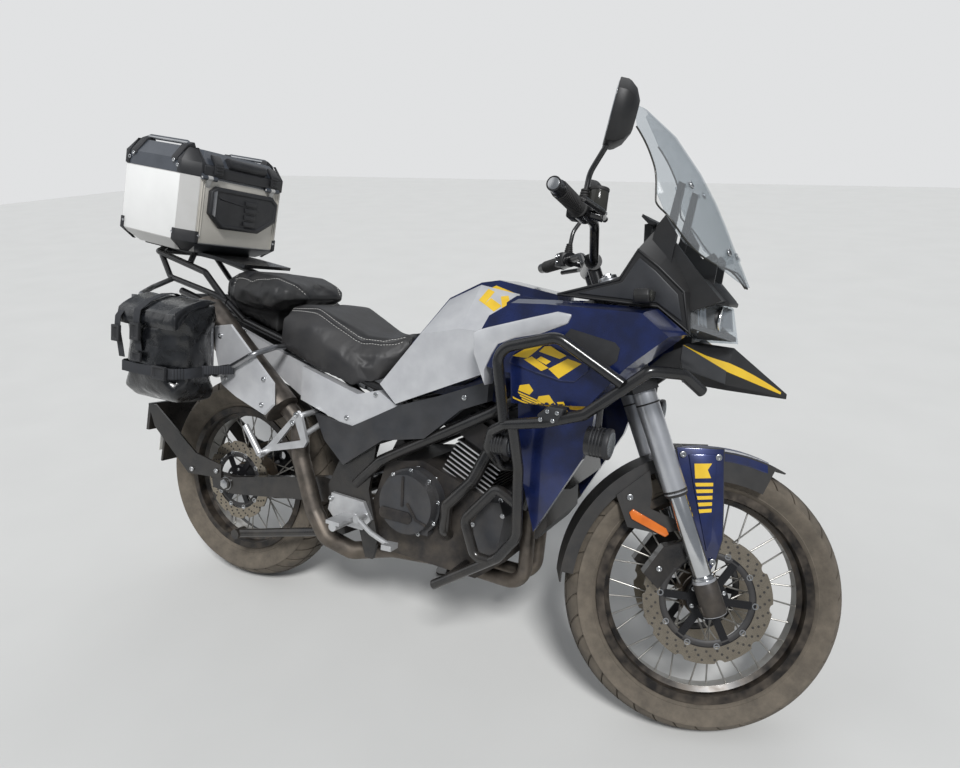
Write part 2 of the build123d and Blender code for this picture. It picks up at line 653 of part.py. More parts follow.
# Exhaust: two header pipes under the engine, joined to the link pipe that rises to the silencer's end face
silencer_from = Vector(270, -196, 618)
silencer_to = Vector(-30, -196, 862)
silencer_way = (silencer_to - silencer_from).normalized()
link_radius = 25.0
link_end = silencer_from - silencer_way * fit_gap + Vector(0, silencer_radius - link_radius - 1, 0)
with BuildPart() as exhaust:
    for side in (-1, 1):
        tube([(915, side * 50, 592), (982, side * 50, 566), (982, side * 40, 240), (760, side * 30, 240)], 19, 50)
    tube([(790, 0, 240), (570, -40, 234), (490, -128, 236), (428, -170, 275), (382, -171, 340), (322, -171, 490),
          link_end - silencer_way * 60, link_end], link_radius, 40)
    add(engine.part, mode=Mode.SUBTRACT)
keep(exhaust, "exhaust_pipe")

with BuildPart() as silencer:
    rod(silencer_from, silencer_to, silencer_radius)
    rod(silencer_to, silencer_to + silencer_way * 26, 38)
    with BuildSketch(Plane(origin=silencer_to - silencer_way * 20, z_dir=silencer_way)):
        Circle(24)
    extrude(amount=60, mode=Mode.SUBTRACT)
keep(silencer, "silencer")

shield_y = -silencer_from.Y + silencer_radius + fit_gap
with BuildPart() as shield:
    bevelled_plate([(57, 831), (120, 842), (285, 700), (288, 640), (255, 606), (150, 640), (92, 668), (66, 755)],
                   -shield_y, -shield_y - 6, 4)
keep(shield, "silencer_shield")

# Fuel tank: a narrow spine with broad shoulders at its front, and the two side panels
spine_half = 60.0
shoulder_half = 148.0
with BuildPart() as tank:
    side_plate([(560, 722), (596, 840), (701, 972), (790, 1020), (840, 1030), (1000, 1008), (1012, 850),
                (1000, 760), (895, 719.4), (700, 712)], -spine_half, spine_half)
    side_plate([(905, 980), (930, 998), (990, 994), (1000, 850), (985, 800), (905, 800)],
               -shoulder_half, shoulder_half)
    add(frame.part, mode=Mode.SUBTRACT)
keep(tank, "fuel_tank")

panel_inner = [(598, 840), (701, 968), (790, 1014), (900, 1000), (900, 840), (760, 745), (590, 722)]
panel_outer = [(578, 735), (690, 880), (800, 905), (862, 905), (896, 828), (878, 806), (630, 690)]
with BuildPart() as tank_panels:
    for side in (-1, 1):
        faces = []
        for y, outline in ((spine_half + fit_gap, panel_inner), (178, panel_outer)):
            with BuildSketch(Plane.XZ.offset(-side * y)) as section:
                with BuildLine():
                    Polyline(*outline, close=True)
                make_face()
            faces.append(section.sketch)
        loft(faces, ruled=True, mode=Mode.ADD)
    add(frame.part, mode=Mode.SUBTRACT)
    add(tank.part, mode=Mode.SUBTRACT)
keep(tank_panels, "tank_side_panels")

# Radiator shrouds: the broad wing beside the tank and the lower cover beside the radiator
wing_outline = [(866, 900), (893, 955), (949, 992), (1041, 998), (1272, 1001), (1340, 954), (1253, 872),
                (1172, 768), (975, 745), (966, 820), (900, 826)]
with BuildPart() as shrouds:
    for side in (-1, 1):
        bevelled_plate(wing_outline, side * 180, side * 245, 26)
        side_plate([(976, 760), (1165, 782), (1160, 700), (1146, 645), (1048, 450), (1012, 556), (993, 614)],
                   side * 168, side * 190)
        rod((960, side * (shoulder_half - 2), 900), (960, side * 182, 900), 12)
    add(tank.part, mode=Mode.SUBTRACT)
    add(radiator.part, mode=Mode.SUBTRACT)
keep(shrouds, "shrouds")

with BuildPart() as chin:
    side_plate([(1030, 545), (1048, 548), (1056, 441), (1034, 405), (1026, 405)], -118, 118)
    for side in (-1, 1):
        rod((988, side * 100, 480), (1034, side * 100, 480), 8)
    add(frame.part, mode=Mode.SUBTRACT)
    add(exhaust.part, mode=Mode.SUBTRACT)
keep(chin, "engine_chin")

with BuildPart() as side_panels:
    for side in (-1, 1):
        bevelled_plate([(357, 617), (490, 604), (634, 686), (753, 730), (892, 790), (892, 737), (820, 705),
                        (719, 611), (590, 582), (465, 488), (395, 547)], side * 149, side * 168, 6)
    add(frame.part, mode=Mode.SUBTRACT)
    add(tank_panels.part, mode=Mode.SUBTRACT)
keep(side_panels, "side_panels")

# Seats: sections across the machine (x, floor half width, top half width, floor, top)
rider_sections = [(212, 164, 118, 780, 905), (320, 168, 122, 744, 903), (470, 152, 106, 704, 842),
                  (540, 128, 88, 722, 838), (592, 62, 50, 826, 866)]
passenger_sections = [(-92, 74, 52, 912, 966), (0, 132, 96, 892, 984), (150, 148, 110, 884, 978),
                      (206, 140, 100, 910, 962), (248, 90, 60, 916, 936)]


def cushion(sections):
    """A seat body lofted through six-cornered sections across the machine."""
    faces = []
    for x, low, high, floor, top in sections:
        with BuildSketch(Plane(origin=(x, 0, 0), x_dir=(0, 1, 0), z_dir=(1, 0, 0))) as section:
            with BuildLine():
                Polyline((-low, floor), (low, floor), (low, (floor + 2 * top) / 3), (high, top), (-high, top),
                         (-low, (floor + 2 * top) / 3), close=True)
            make_face()
        faces.append(section.sketch)
    loft(faces, ruled=True)


rail_top = subframe_radius + 1
channel_half = subframe_half + subframe_radius + 3
with BuildPart() as rider_seat:
    cushion(rider_sections)
    side_plate([(100, 560), (100, 827 + rail_top), (240, 790 + rail_top), (620, 690 + rail_top), (620, 560)],
               -channel_half, channel_half, mode=Mode.SUBTRACT)
    add(tank.part, mode=Mode.SUBTRACT)
    add(tank_panels.part, mode=Mode.SUBTRACT)
keep(rider_seat, "rider_seat")

tray_half = subframe_half - subframe_radius - fit_gap - 18
with BuildPart() as passenger_seat:
    cushion(passenger_sections)
    side_plate([(-70, 870), (140, 820), (140, 900), (-70, 930)], -tray_half, tray_half)
    add(frame.part, mode=Mode.SUBTRACT)
keep(passenger_seat, "passenger_seat")

# Tail panels, silver, along the seat; the black tail unit carries the rear lamp and indicators
with BuildPart() as tail_panels:
    for side in (-1, 1):
        side_plate([(37, 822), (214, 768), (318, 742), (318, 648), (286, 655), (120, 745)],
                   side * 124, side * 142)
        side_plate([(308, 744), (500, 694), (566, 714), (630, 682), (490, 604.5), (451, 608), (308, 649)],
                   side * 134, side * 166)
    add(frame.part, mode=Mode.SUBTRACT)
    add(side_panels.part, mode=Mode.SUBTRACT)
    add(rider_seat.part, mode=Mode.SUBTRACT)
    add(tank_panels.part, mode=Mode.SUBTRACT)
keep(tail_panels, "tail_panels")

with BuildPart() as tail_unit:
    side_plate([(-262, 896), (-256, 840), (-60, 768), (150, 730), (226, 742), (150, 800), (-70, 850), (-230, 896)],
               -94, 94)
    for side in (-1, 1):
        rod((-190, side * 90, 846), (-190, side * 168, 846), 7)
        rod((-214, side * 178, 846), (-160, side * 178, 846), 20)
    side_plate([(-290, 892), (-284, 842), (-256, 846), (-261, 892)], -62, 62)
    add(frame.part, mode=Mode.SUBTRACT)
    add(passenger_seat.part, mode=Mode.SUBTRACT)
keep(tail_unit, "tail_unit")

# The plate carrier: two arms from the axle, a cross plate behind the tyre and a narrow splash flap
carrier_x = -rear_radius - 10
carrier_z = rear_radius + 200
with BuildPart() as hugger:
    for side in (-1, 1):
        side_plate([(-18, rear_radius + 14), (-160, rear_radius + 2), (carrier_x + 18, carrier_z - 73),
                    (carrier_x - 14, carrier_z - 3), (carrier_x + 20, carrier_z), (-130, rear_radius + 74),
                    (-18, rear_radius + 56)], side * (arm_outer + fit_gap), side * (arm_outer + 6))
    side_plate([(carrier_x - 10, carrier_z - 90), (carrier_x - 22, carrier_z - 90), (carrier_x - 12, carrier_z),
                (carrier_x, carrier_z)], -arm_outer - 6, arm_outer + 6)
    side_plate([(carrier_x - 30, carrier_z - 215), (carrier_x - 38, carrier_z - 215),
                (carrier_x - 12, carrier_z - 20), (carrier_x - 2, carrier_z - 20)], -flap_half, flap_half)
    add(swingarm.part, mode=Mode.SUBTRACT)
keep(hugger, "rear_hugger")

with BuildPart() as plate:
    side_plate([(carrier_x - 42, carrier_z - 178), (carrier_x - 45, carrier_z - 178),
                (carrier_x - 25, carrier_z - 33), (carrier_x - 22, carrier_z - 33)], -plate_half, plate_half)
    for side in (-1, 1):
        rod((carrier_x - 8, side * 40, carrier_z - 58), (carrier_x - 28, side * 40, carrier_z - 58), 6)
    add(hugger.part, mode=Mode.SUBTRACT)
keep(plate, "blank_plate")

# Cowl round the headlamp, headlamp, beak, instrument panel and windscreen
with BuildPart() as headlamp:
    faces = []
    for y, outline in ((-132, [(1296, 1044), (1326, 1043), (1340, 966), (1302, 958)]),
                       (0, [(1330, 1036), (1403, 1014), (1423, 936), (1340, 930)]),
                       (132, [(1296, 1044), (1326, 1043), (1340, 966), (1302, 958)])):
        with BuildSketch(Plane.XZ.offset(-y)) as section:
            with BuildLine():
                Polyline(*outline, close=True)
            make_face()
        faces.append(section.sketch)
    loft(faces, ruled=True)
keep(headlamp, "headlamp")

with BuildPart() as cowl:
    side_plate([(1222, 1010), (1240, 1160), (1262, 1166), (1330, 1092), (1392, 1030), (1330, 1000), (1326, 950),
                (1240, 960)], -136, 136)
    for side in (-1, 1):
        faces = []
        for y, outline in ((132, [(1216, 1000), (1216, 1110), (1240, 1176), (1276, 1130), (1326, 1044), (1338, 950),
                                  (1270, 1003)]),
                           (172, [(1035, 1009), (1178, 1057), (1212, 1125), (1262, 1092), (1322, 1042),
                                  (1342, 956), (1270, 1003)])):
            with BuildSketch(Plane.XZ.offset(-side * y)) as section:
                with BuildLine():
                    Polyline(*outline, close=True)
                make_face()
            faces.append(section.sketch)
        loft(faces, ruled=True)
        side_plate([(1225, 1100), (1240, 1176), (1256, 1200), (1284, 1160), (1280, 1100)], side * 134, side * 150)
    with BuildSketch(stem_plane.offset(950)):
        Circle(cowl_room)
    extrude(amount=330, mode=Mode.SUBTRACT)
    side_plate([(1252, 1020), (1252, 1240), (1300, 1240), (1360, 1036), (1300, 1020)], -122, 122,
               mode=Mode.SUBTRACT)
    side_plate([(1236, 1126), (1252, 1126), (1262, 1180), (1250, 1240), (1230, 1200)], -122, 122,
               mode=Mode.SUBTRACT)
    for side in (-1, 1):
        side_plate([(1238, 1040), (1253, 1040), (1262, 1140), (1276, 1274), (1262, 1280), (1248, 1180)],
                   side * 78, side * 90)
        side_plate([(1246, 1040), (1360, 1040), (1364, 1120), (1352, 1132), (1250, 1060)], side * 56, side * 64)
    add(headlamp.part, mode=Mode.SUBTRACT)
    add(shrouds.part, mode=Mode.SUBTRACT)
    add(frame.part, mode=Mode.SUBTRACT)
keep(cowl, "headlamp_cowl")

with BuildPart() as beak:
    faces = []
    for x, outline in ((1326, [(-150, 930), (0, 929), (150, 930), (122, 876), (90, 842), (-90, 842), (-122, 876)]),
                       (1416, [(-84, 880), (0, 926), (84, 880), (72, 848), (56, 834), (-56, 834), (-72, 848)]),
                       (1540, [(-7, 834), (0, 838), (7, 834), (6, 830), (4, 827), (-4, 827), (-6, 830)])):
        with BuildSketch(Plane(origin=(x, 0, 0), x_dir=(0, 1, 0), z_dir=(1, 0, 0))) as section:
            with BuildLine():
                Polyline(*outline, close=True)
            make_face()
        faces.append(section.sketch)
    loft(faces, ruled=True)
    for side in (-1, 1):
        side_plate([(1262, 872), (1290, 905), (1328, 925), (1328, 880)], side * 120, side * 150)
    side_plate([(1292, 900), (1330, 890), (1330, 956), (1292, 956)], -60, 60)
    add(shrouds.part, mode=Mode.SUBTRACT)
    add(headlamp.part, mode=Mode.SUBTRACT)
    add(cowl.part, mode=Mode.SUBTRACT)
keep(beak, "beak")

with BuildPart() as dash:
    side_plate([(1198, 1108), (1214, 1112), (1208, 1190), (1192, 1186)], -64, 64)
    side_plate([(1190, 1200), (1208, 1184), (1226, 1184), (1226, 1188), (1210, 1194), (1192, 1206)], -92, 92)
    for side in (-1, 1):
        rod((1206, side * 50, 1140), (1246, side * 50, 1128), 8)
    add(cowl.part, mode=Mode.SUBTRACT)
keep(dash, "instrument_panel")

# Windscreen: level cuts of a swept sheet (x of the middle, z, half width, sweep of the edges)
screen_cuts = [(1430, 1064, 24, 4), (1412, 1098, 92, 34), (1386, 1146, 138, 84), (1360, 1196, 148, 98),
               (1332, 1246, 138, 100), (1290, 1310, 125, 74), (1224, 1391, 110, 60), (1152, 1450, 58, 16)]
screen_thick = 4.0
with BuildPart() as windscreen:
    faces = []
    for x, z, half, back in screen_cuts:
        with BuildSketch(Plane.XY.offset(z)) as section:
            with BuildLine():
                ThreePointArc((x - back, -half), (x, 0), (x - back, half))
                Line((x - back, half), (x - back - screen_thick, half))
                ThreePointArc((x - back - screen_thick, half), (x - screen_thick, 0),
                              (x - back - screen_thick, -half))
                Line((x - back - screen_thick, -half), (x - back, -half))
            make_face()
        faces.append(section.sketch)
    loft(faces, ruled=True)
    for side in (-1, 1):
        rod((1350, side * 60, 1112), (1394, side * 60, 1128), 5)
        rod((1256, side * 84, 1262), (1290, side * 84, 1277), 5)
    add(cowl.part, mode=Mode.SUBTRACT)
keep(windscreen, "windscreen")

# Crash bars: two upper loops round each shroud and a lower loop round the engine's front corner
guard_tube = 12.5
for side, name in ((-1, "crash_bar_right"), (1, "crash_bar_left")):
    with BuildPart() as crash_bar:
        tube([(1380, side * 150, 836), (1345, side * 196, 872), (1284, side * 240, 874), (1166, side * 276, 766),
              (1080, side * 288, 736), (990, side * 284, 716), (950, side * 262, 690), (936, side * 245, 645),
              (950, side * 190, 592), (1002, side * 112, 585)], guard_tube, 22)
        tube([(1236, side * 262, 842), (1092, side * 286, 924), (958, side * 296, 882), (986, side * 284, 722)],
             guard_tube, 40)
        tube([(1006, side * 283, 724), (1016, side * 244, 612), (1027, side * 238, 446), (980, side * 230, 380),
              (804, side * 210, 254)], guard_tube, 45)
        tube([(1026, side * 238, 520), (960, side * 226, 548), (884, side * 230, 452), (920, side * 228, 366),
              (960, side * 228, 366)], guard_tube, 24)
        rod((850, side * 214, 288), (850, side * 120, 292), guard_tube)
        rod((1196, side * 265, 794), (1196, side * 262, 738), 7)
        rod((1176, side * 262, 710), (1226, side * 262, 710), 32)
        rod((948, side * 236, 662), (990, side * 236, 662), 30)
        for other in (engine, frame, covers, shrouds, radiator):
            add(other.part, mode=Mode.SUBTRACT)
    keep(crash_bar, name)

# Rider's footrests, brake pedal (right) and gear lever (left)
plate_face = pivot_plate_y + plate_thick / 2
with BuildPart() as footrests:
    for side in (-1, 1):
        side_plate([(420, 352), (430, 402), (538, 398), (566, 352), (540, 318), (456, 318)],
                   side * (plate_face + fit_gap), side * (plate_face + 12))
        rod((508, side * (plate_face + 8), 346), (508, side * 252, 346), 12)
        side_plate([(486, 352), (530, 352), (530, 362), (486, 362)], side * 172, side * 252)
    rod((545, -plate_face - 4, 360), (545, -198, 360), 11)
    tube([(545, -190, 360), (600, -206, 340), (684, -226, 326)], 7, 30)
    side_plate([(660, 320), (690, 322), (690, 336), (660, 334)], -210, -244)
    rod((560, plate_face + 4, 372), (560, 192, 372), 8)
    tube([(560, 186, 372), (620, 196, 356), (668, 206, 352)], 6, 30)
    rod((668, 200, 352), (668, 232, 352), 9)
keep(footrests, "rider_footrests")

with BuildPart() as pillion:
    for side in (-1, 1):
        side_plate([(336, 626), (350, 612), (374, 546), (364, 528), (244, 494), (206, 466), (198, 480), (236, 512)],
                   side * 200, side * 210)
        side_plate([(328, 596), (352, 546), (268, 520)], side * 196, side * 214, mode=Mode.SUBTRACT)
        rod((338, side * 202, 612), (338, side * subframe_half, 616), 8)
        rod((350, side * 202, 556), (368, side * 122, 592), 8)
        rod((222, side * 206, 488), (222, side * 232, 488), 9)
        rod((222, side * 228, 488), (170, side * 232, 560), 9)
    add(frame.part, mode=Mode.SUBTRACT)
    add(side_panels.part, mode=Mode.SUBTRACT)
    add(tail_panels.part, mode=Mode.SUBTRACT)
keep(pillion, "passenger_footrests")

# Luggage carriers
with BuildPart() as rack:
    for side in (-1, 1):
        tube([(30, side * 112, 842), (-49, side * 118, 900), (-131, side * 118, 972), (-345, side * 112, 1022),
              (-372, side * 84, 1026), (-372, 0, 1026)], 10, 24)
        tube([(-30, side * 122, 890), (-80, side * 124, 908), (-275, side * 124, 946), (-330, side * 112, 1012)], 9, 24)
        for x in (-200, -330):
            rod((x, side * 114, 980 - 0.24 * (x + 131)), (x, side * 100, case_point(x, case_floor)[1] - 8), 9)
    side_plate([case_point(-425, case_floor - luggage_plate), case_point(-120, case_floor - luggage_plate),
                (10, 996), (14, 1006), case_point(-120, case_floor - fit_gap),
                case_point(-425, case_floor - fit_gap)], -100, 100)
    add(frame.part, mode=Mode.SUBTRACT)
    add(passenger_seat.part, mode=Mode.SUBTRACT)
keep(rack, "rear_rack")

pannier_tube = 8.0
pannier_y = bag_inner - fit_gap - pannier_tube
with BuildPart() as pannier_racks:
    for side in (-1, 1):
        tube([(240, side * subframe_half, 790), (238, side * 200, 790), (215, side * pannier_y, 770),
              (60, side * pannier_y, 680),
              (56, side * pannier_y, 886), (-240, side * pannier_y, 890), (-262, side * 200, 912),
              (-262, side * 124, 942)], pannier_tube, 22)
        tube([(58, side * pannier_y, 700), (-150, side * pannier_y, 660), (-262, side * pannier_y, 700),
              (-262, side * pannier_y, 890)], pannier_tube, 40)
    add(frame.part, mode=Mode.SUBTRACT)
    add(rack.part, mode=Mode.SUBTRACT)
    add(tail_panels.part, mode=Mode.SUBTRACT)
    add(rider_seat.part, mode=Mode.SUBTRACT)
keep(pannier_racks, "pannier_racks")

# Soft bags: the left one sits further back on its rack than the right one
bag_levels = [(618, -46, -30), (650, -8, -4), (820, -8, -4), (832, 0, 0), (868, 0, 0), (902, -16, -60)]
with BuildPart() as saddlebags:
    for side, back in ((-1, 0), (1, left_bag_back)):
        faces = []
        for z, longer, wider in bag_levels:
            with BuildSketch(Plane.XY.offset(z)) as section:
                with Locations((bag_middle - back, side * (bag_inner + (bag_outer - bag_inner + wider) / 2))):
                    Rectangle(bag_length + longer, bag_outer - bag_inner + wider)
            faces.append(section.sketch)
        loft(faces, ruled=True)
keep(saddlebags, "saddlebags")

# Top case: folded sheet body with cut corners, open at the top, and its hinged lid
case_back = case_front - case_length
case_mid = (case_front + case_back) / 2
hinge_x = case_front + 8
hinge_z = case_seam + 1
hinge_pin = 3.0
knuckle = 7.0
hinge_places = (-150, 110)


def case_section(z, inset):
    with BuildSketch(Plane.XY.offset(z).shift_origin((case_mid, 0, z))) as section:
        half_x = case_length / 2 - inset
        half_y = case_half - inset
        cut = case_corner
        with BuildLine():
            Polyline((half_x - cut, -half_y), (half_x, -half_y + cut), (half_x, half_y - cut),
                     (half_x - cut, half_y), (-half_x + cut, half_y), (-half_x, half_y - cut),
                     (-half_x, -half_y + cut), (-half_x + cut, -half_y), close=True)
        make_face()
    return section.sketch


with BuildPart() as case_body:
    side_low = case_floor + floor_rise
    loft([case_section(case_floor, floor_inset), case_section(side_low, 0)], ruled=True)
    loft([case_section(side_low, 0), case_section(case_seam, 0)], ruled=True)
    loft([case_section(case_floor + case_wall, floor_inset + case_wall * 0.4), case_section(side_low, case_wall)],
         ruled=True, mode=Mode.SUBTRACT)
    loft([case_section(side_low, case_wall), case_section(case_seam + 1, case_wall)], ruled=True,
         mode=Mode.SUBTRACT)
    for y in hinge_places:
        rod((hinge_x, y, hinge_z), (hinge_x, y + 18, hinge_z), knuckle)
        side_plate([(case_front - 1, hinge_z - 31), (case_front, hinge_z - 31), (hinge_x - 2, hinge_z - 17),
                    (hinge_x + 4, hinge_z), (hinge_x - 4, hinge_z), (case_front - 1, hinge_z - 6)], y, y + 18)
        rod((hinge_x, y - 18, hinge_z), (hinge_x, y + 36, hinge_z), hinge_pin)
keep(case_body, "top_case_body", pitched=True)

with BuildPart() as case_lid:
    low = case_seam + fit_gap
    band_top = case_seam + lid_band
    loft([case_section(low, 0), case_section(band_top, 0)], ruled=True)
    loft([case_section(band_top, 0), case_section(case_top, lid_inset)], ruled=True)
    loft([case_section(low - 1, case_wall), case_section(band_top, case_wall)], ruled=True, mode=Mode.SUBTRACT)
    loft([case_section(band_top, case_wall), case_section(case_top - case_wall, lid_inset)], ruled=True,
         mode=Mode.SUBTRACT)
    for side in (-1, 1):
        bar_y = side * (case_half - lid_inset - 14)
        tube([(case_back + 60, bar_y, case_top - 2), (case_back + 76, bar_y, case_top + 14),
              (case_front - 76, bar_y, case_top + 14), (case_front - 60, bar_y, case_top - 2)], 5, 8)
    for y in hinge_places:
        for start in (y - 17.7, y + 18.3):
            rod((hinge_x, start, hinge_z), (hinge_x, start + 17.4, hinge_z), knuckle)
            side_plate([(case_front - 1, hinge_z + 4), (hinge_x - 4, hinge_z), (hinge_x, hinge_z + 6.5),
                        (case_front - 1, hinge_z + 16)], start, start + 17.4)
            with BuildSketch(Plane(origin=(hinge_x, start - 1, hinge_z), z_dir=(0, 1, 0))) as bore:
                Circle(hinge_pin + pin_gap)
            extrude(bore.sketch, amount=19.4, mode=Mode.SUBTRACT)
keep(case_lid, "top_case_lid", pitched=True)

# Stands
with BuildPart() as side_stand:
    floor_up = (on_floor(1, 0) - on_floor(0, 0)).cross(on_floor(0, 1) - on_floor(0, 0)).normalized()
    rod(stand_top - stand_hinge * stand_knuckle, stand_top + stand_hinge * stand_knuckle, 16)
    rod(stand_top, stand_foot + floor_up * 4, stand_tube)
    with BuildSketch(Plane(origin=stand_foot, x_dir=(1, 0.25, 0), z_dir=floor_up)):
        RectangleRounded(96, 62, 18)
    extrude(amount=stand_foot_thick)
    with BuildSketch(Plane(origin=stand_foot, z_dir=-floor_up)):
        Circle(60)
    extrude(amount=60, mode=Mode.SUBTRACT)
    with BuildSketch(Plane(origin=stand_top - stand_hinge * 30, z_dir=stand_hinge)):
        Circle(stand_pin + pin_gap)
    extrude(amount=60, mode=Mode.SUBTRACT)
keep(side_stand, "side_stand")

with BuildPart() as centre_stand:
    lug_out = centre_lug_y + 6 + 0.5
    for side in (-1, 1):
        rod((centre_pivot[0], side * lug_out, centre_pivot[1]), (centre_pivot[0], side * (lug_out + 14),
            centre_pivot[1]), 16)
        tube([(centre_pivot[0], side * (lug_out + 14), centre_pivot[1]), (centre_foot[0] + 60, side * 140,
             centre_foot[1] + 12), (centre_foot[0], side * 152, centre_foot[1])], centre_tube - 1, 40)
        rod((centre_foot[0], side * 128, centre_foot[1]), (centre_foot[0], side * 168, centre_foot[1]),
            centre_tube + 1)
        with BuildSketch(Plane(origin=(centre_pivot[0], side * (lug_out - 3), centre_pivot[1]),
                               z_dir=(0, side, 0))):
            Circle(8 + pin_gap)
        extrude(amount=22, mode=Mode.SUBTRACT)
    rod((352, -lug_out - 8, 257), (352, lug_out + 8, 257), 9)
keep(centre_stand, "centre_stand")

# The origin is on the floor under the middle of the whole machine
boxes = [part.bounding_box() for part in pieces.values()]
middle = Vector(-(min(b.min.X for b in boxes) + max(b.max.X for b in boxes)) / 2,
                -(min(b.min.Y for b in boxes) + max(b.max.Y for b in boxes)) / 2,
                -min(b.min.Z for b in boxes))
os.makedirs("parts", exist_ok=True)
for name, part in pieces.items():
    placed = part.moved(Location(middle))
    placed.label = name
    export_step(placed, "parts/" + name + ".step")
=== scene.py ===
import bpy, json, math
from mathutils import Matrix, Vector


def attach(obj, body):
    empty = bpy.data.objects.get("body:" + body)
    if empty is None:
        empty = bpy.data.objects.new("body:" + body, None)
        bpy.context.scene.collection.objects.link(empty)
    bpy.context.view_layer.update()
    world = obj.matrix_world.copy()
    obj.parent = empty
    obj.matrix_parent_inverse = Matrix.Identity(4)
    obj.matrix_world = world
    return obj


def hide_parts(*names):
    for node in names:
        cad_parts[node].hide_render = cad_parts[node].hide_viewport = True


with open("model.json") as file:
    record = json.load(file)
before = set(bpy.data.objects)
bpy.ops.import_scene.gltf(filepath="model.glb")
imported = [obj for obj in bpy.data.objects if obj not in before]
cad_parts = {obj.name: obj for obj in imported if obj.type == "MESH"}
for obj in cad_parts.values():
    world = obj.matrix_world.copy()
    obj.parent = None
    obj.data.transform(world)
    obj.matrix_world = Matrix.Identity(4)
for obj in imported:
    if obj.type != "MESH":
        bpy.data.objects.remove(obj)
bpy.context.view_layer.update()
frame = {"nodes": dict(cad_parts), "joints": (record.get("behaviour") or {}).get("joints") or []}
nodes = frame["nodes"]
print("frame loaded", len(nodes), "nodes")

# The machine leans on its side stand with the steering turned. Every piece here is drawn on the
# upright, straight machine in millimetres, X forward, Y left, Z up from below the rear axle,
# and then moved by one of these places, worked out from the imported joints.
rake = math.radians(25)
steerTurn = math.radians(24)
rearRadius = 328
frontRadius = 329
wheelbase = 1421
joints = {joint["name"]: joint for joint in frame["joints"]}
rearSpin = joints["rear_wheel_spin"]
steerJoint = joints["steering"]


def machinePlace():
    left = Vector(rearSpin["axis"]).normalized()
    stem = Vector(steerJoint["axis"]).normalized()
    across = left.cross(stem)
    ahead = across * math.cos(rake) - stem * math.sin(rake)
    up = across * math.sin(rake) + stem * math.cos(rake)
    foot = Vector(rearSpin["pos_m"]) - up * rearRadius / 1000
    turn = Matrix((ahead, left, up)).transposed().to_4x4()
    return Matrix.Translation(foot) @ turn


def about(point, axis, angle):
    return Matrix.Translation(point) @ Matrix.Rotation(angle, 4, axis) @ Matrix.Translation(-Vector(point))


bike = machinePlace()
fork = about(Vector(steerJoint["pos_m"]), Vector(steerJoint["axis"]), steerTurn) @ bike
caseHinge = Vector((-0.132, 0, 1.026))
caseTilt = math.radians(6.5)
topCase = bike @ about(caseHinge, Vector((0, 1, 0)), caseTilt)


def mm(x, y, z):
    return Vector((x, y, z)) / 1000


# Helpers for making and finishing pieces
def onlySelect(*pieces):
    # faces picked by their own flag stay picked in edit mode
    bpy.ops.object.select_all(action="DESELECT")
    for piece in pieces:
        piece.select_set(True)
    bpy.context.view_layer.objects.active = pieces[0]
    bpy.context.tool_settings.mesh_select_mode = (False, False, True)


def edit(piece, action):
    onlySelect(piece)
    bpy.context.tool_settings.mesh_select_mode = (True, False, False)
    bpy.ops.object.mode_set(mode="EDIT")
    bpy.ops.mesh.select_all(action="SELECT")
    action()
    bpy.ops.object.mode_set(mode="OBJECT")


def pickFaces(piece, wanted):
    # leaves the piece in edit mode with just the wanted faces selected
    edit(piece, lambda: bpy.ops.mesh.select_all(action="DESELECT"))
    for face in piece.data.polygons:
        face.select = wanted(face)
    onlySelect(piece)
    bpy.ops.object.mode_set(mode="EDIT")
    bpy.ops.mesh.select_mode(type="FACE")


def applyModifiers(piece):
    onlySelect(piece)
    for modifier in list(piece.modifiers):
        bpy.ops.object.modifier_apply(modifier=modifier.name)


def bevelEdges(piece, width, segments=2, limit=40):
    modifier = piece.modifiers.new("softEdges", "BEVEL")
    modifier.width = width / 1000
    modifier.segments = segments
    modifier.limit_method = "ANGLE"
    modifier.angle_limit = math.radians(limit)
    applyModifiers(piece)


def joined(name, pieces):
    onlySelect(*pieces)
    if len(pieces) > 1:
        bpy.ops.object.join()
    piece = bpy.context.object
    piece.name = name
    return piece


def settle(piece, place, body, material, smooth=35):
    onlySelect(piece)
    piece.matrix_world = place @ piece.matrix_world
    bpy.ops.object.transform_apply(location=True, rotation=True, scale=True)
    bpy.ops.object.shade_smooth_by_angle(angle=math.radians(smooth))
    piece.data.materials.clear()
    piece.data.materials.append(material)
    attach(piece, body)
    return piece


def flatForm(name, corners, push, bevel=0, segments=2):
    # a flat outline of 3-D corners, pushed along a vector
    bpy.ops.mesh.primitive_circle_add(vertices=len(corners), fill_type="NGON", radius=0.1)
    piece = bpy.context.object
    piece.name = name
    for vertex, corner in zip(piece.data.vertices, corners):
        vertex.co = mm(*corner)

    def thicken():
        bpy.ops.mesh.extrude_region_move(TRANSFORM_OT_translate={"value": tuple(mm(*push))})
        bpy.ops.mesh.select_all(action="SELECT")
        bpy.ops.mesh.normals_make_consistent(inside=False)

    edit(piece, thicken)
    if bevel:
        bevelEdges(piece, bevel, segments)
    return piece


def sideForm(name, outline, near, far, bevel=0, segments=2):
    # an outline of x, z points in side view, from y near to y far
    return flatForm(name, [(x, near, z) for x, z in outline], (0, far - near, 0), bevel, segments)


def onSides(name, outline, faces, bevel=0, segments=2):
    # the same side form on the right and on the left, between two distances from the middle
    return [sideForm(name, outline, side * faces[0], side * faces[1], bevel, segments) for side in (-1, 1)]


